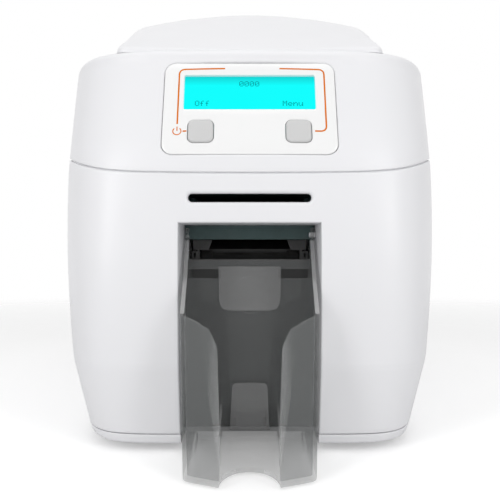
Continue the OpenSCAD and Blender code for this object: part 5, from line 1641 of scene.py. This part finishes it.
def clear_plastic(name, colour, thin):
    """See-through plastic: thin is what one face hides when looked at squarely."""
    material, w, shader = plain_finish(name)
    handled = group_node(w, grain_group, {
        "Color": light_value(colour), "Cell mm": 4.0, "Mottle": 0.03, "Roughness": 0.1, "Scatter": 0.04})
    paint(w, shader, handled["Color"], handled["Roughness"])
    grazing = w.node("LayerWeight", {"Blend": 0.5}).outputs["Facing"]
    w.tree.links.new(w.remap(grazing, TURN_STARTS, 1.0, thin, EDGE_ON), shader.inputs["Alpha"])
    shader.inputs["IOR"].default_value = 1.49
    shader.inputs["Coat Weight"].default_value = 0.6
    shader.inputs["Coat Roughness"].default_value = 0.04
    finishes[name] = material


clear_plastic("smoked_plastic", SMOKE, 0.24)
clear_plastic("smoked_rim_highlight", RIM_HIGHLIGHT_GREY, 0.55)
clear_plastic("smoked_plate_lit", PLATE_LIT_GREY, 0.24)
clear_plastic("smoked_floor_lit", FLOOR_LIT_GREY, 0.3)
print("finishes:", sorted(finishes))

# %% Every piece gets its finish
OWN_FINISH = {"panel_print": finishes["panel_orange"], "display_marks": dark_dots,
              "stacker_plates": finishes["smoked_plate_lit"]}
slot_of = {s["node"]: s["material_slot"] for s in frame["record"]["subparts"]}


def dress(obj, material):
    """Gives the whole piece one finish; every face goes back to zone 0."""
    obj.data.materials.clear()
    obj.data.materials.append(material)


tray_zones = [f.material_index for f in stacker_tray.data.polygons]
for node_name, obj in frame["nodes"].items():
    dress(obj, finishes[slot_of[node_name]])
made_pieces = [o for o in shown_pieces() if "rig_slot" in o and o.name not in frame["nodes"]]
for obj in made_pieces:
    dress(obj, OWN_FINISH.get(obj.name, finishes[obj["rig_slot"]]))
# The rim and floor zones get their paler tints: a painted highlight and painted light.
for name in ("smoked_rim_highlight", "smoked_floor_lit"):
    stacker_tray.data.materials.append(finishes[name])
stacker_tray.data.polygons.foreach_set("material_index", tray_zones)
print("faces of the tray's walls, rims and floor:", [tray_zones.count(zone) for zone in range(3)])
print("dressed:", len(frame["nodes"]), "solids of the frame and", len(made_pieces), "new pieces")

# %% [markdown]
# ## The studio
# Product photographs of white goods are made between two tall softboxes under a broad overhead one.
# The tall boxes leave the upright streaks on the casing's corners, and the overhead one lights the
# lid. The lamps stay low enough that no white surface burns out. The world is pure white only where
# the camera, a mirror or clear plastic sees it, and lights the printer at a calmer level.

# %% World
scene = bpy.context.scene
scene.view_settings.view_transform = "Standard"
world = bpy.data.worlds.new("studio")
scene.world = world
world.use_nodes = True
world.node_tree.nodes.clear()
AMBIENT = 0.46


def seen_directly(w):
    """1 for light paths that show a background, 0 for those that light a surface."""
    paths = w.node("LightPath").outputs
    return w.math("MINIMUM", 1.0, w.math(
        "ADD", paths["Is Camera Ray"], w.math("ADD", paths["Is Glossy Ray"], paths["Is Transmission Ray"])))


w = Wires(world.node_tree)
sky = w.node("Background", {"Color": WHITE, "Strength": w.remap(seen_directly(w), 0.0, 1.0, AMBIENT, 1.0)})
w.node("OutputWorld", {"Surface": sky.outputs[0]})

# %% Lamps


def softbox(name, centre, size, aim, watts):
    data = bpy.data.lights.new(name, "AREA")
    data.shape = "RECTANGLE"
    data.size, data.size_y = size[0] * MM, size[1] * MM
    data.energy = watts
    lamp = bpy.data.objects.new(name, data)
    scene.collection.objects.link(lamp)
    lamp.location = place(centre)
    lamp.rotation_euler = (place(aim) - lamp.location).to_track_quat("-Z", "Y").to_euler()


for name, side, watts in (("key_left", -1, 3.7), ("key_right", 1, 3.2)):
    softbox(name, (side * 620, -760, 520), (260, 1000), (0, 60, 130), watts)
softbox("overhead", (0, 60, 1150), (900, 900), (0, 120, 100), 2.4)

# %% [markdown]
# ## The floor
# The printer stands on a plain white sweep. Near the printer it is a real surface that takes the
# shadow, and further out it fades into the white background, so no horizon shows. What the camera
# sees of it is lifted a little towards white, without more light on the printer, and it can be seen
# through from below.

# %% Floor
FLOOR_HALF, FADE_FROM, FADE_TO, BELOW_FEET = 2.5, 0.4, 1.1, 0.0002
LIFT = 0.3
floor_mesh = bpy.data.meshes.new("floor")
floor_mesh.from_pydata(
    [(x * 2 * FLOOR_HALF, y * 2 * FLOOR_HALF, -BELOW_FEET) for x, y in CORNERS], [], [(0, 1, 2, 3)])
floor = bpy.data.objects.new("floor", floor_mesh)
scene.collection.objects.link(floor)
material, w, shader = plain_finish("white_sweep")
distance = w.node("VectorMath", {0: w.here()}, operation="LENGTH").outputs["Value"]
paper = group_node(w, grain_group, {
    "Color": light_value((0.97, 0.97, 0.97)), "Cell mm": 1.0, "Mottle": 0.004, "Roughness": 0.9,
    "Scatter": 0.02})
paint(w, shader, paper["Color"], paper["Roughness"])
shader.inputs["Specular IOR Level"].default_value = 0.0
seen = w.node("LightPath").outputs["Is Camera Ray"]
w.tree.links.new(w.mix(seen, BLACK, (LIFT, LIFT, LIFT, 1)), shader.inputs["Emission Color"])
shader.inputs["Emission Strength"].default_value = 1.0
above = w.math("SUBTRACT", 1.0, w.node("NewGeometry").outputs["Backfacing"])
fade = w.remap(distance, FADE_FROM, FADE_TO, 1.0, 0.0)
w.tree.links.new(w.math("MULTIPLY", fade, above), shader.inputs["Alpha"])
dress(floor, material)
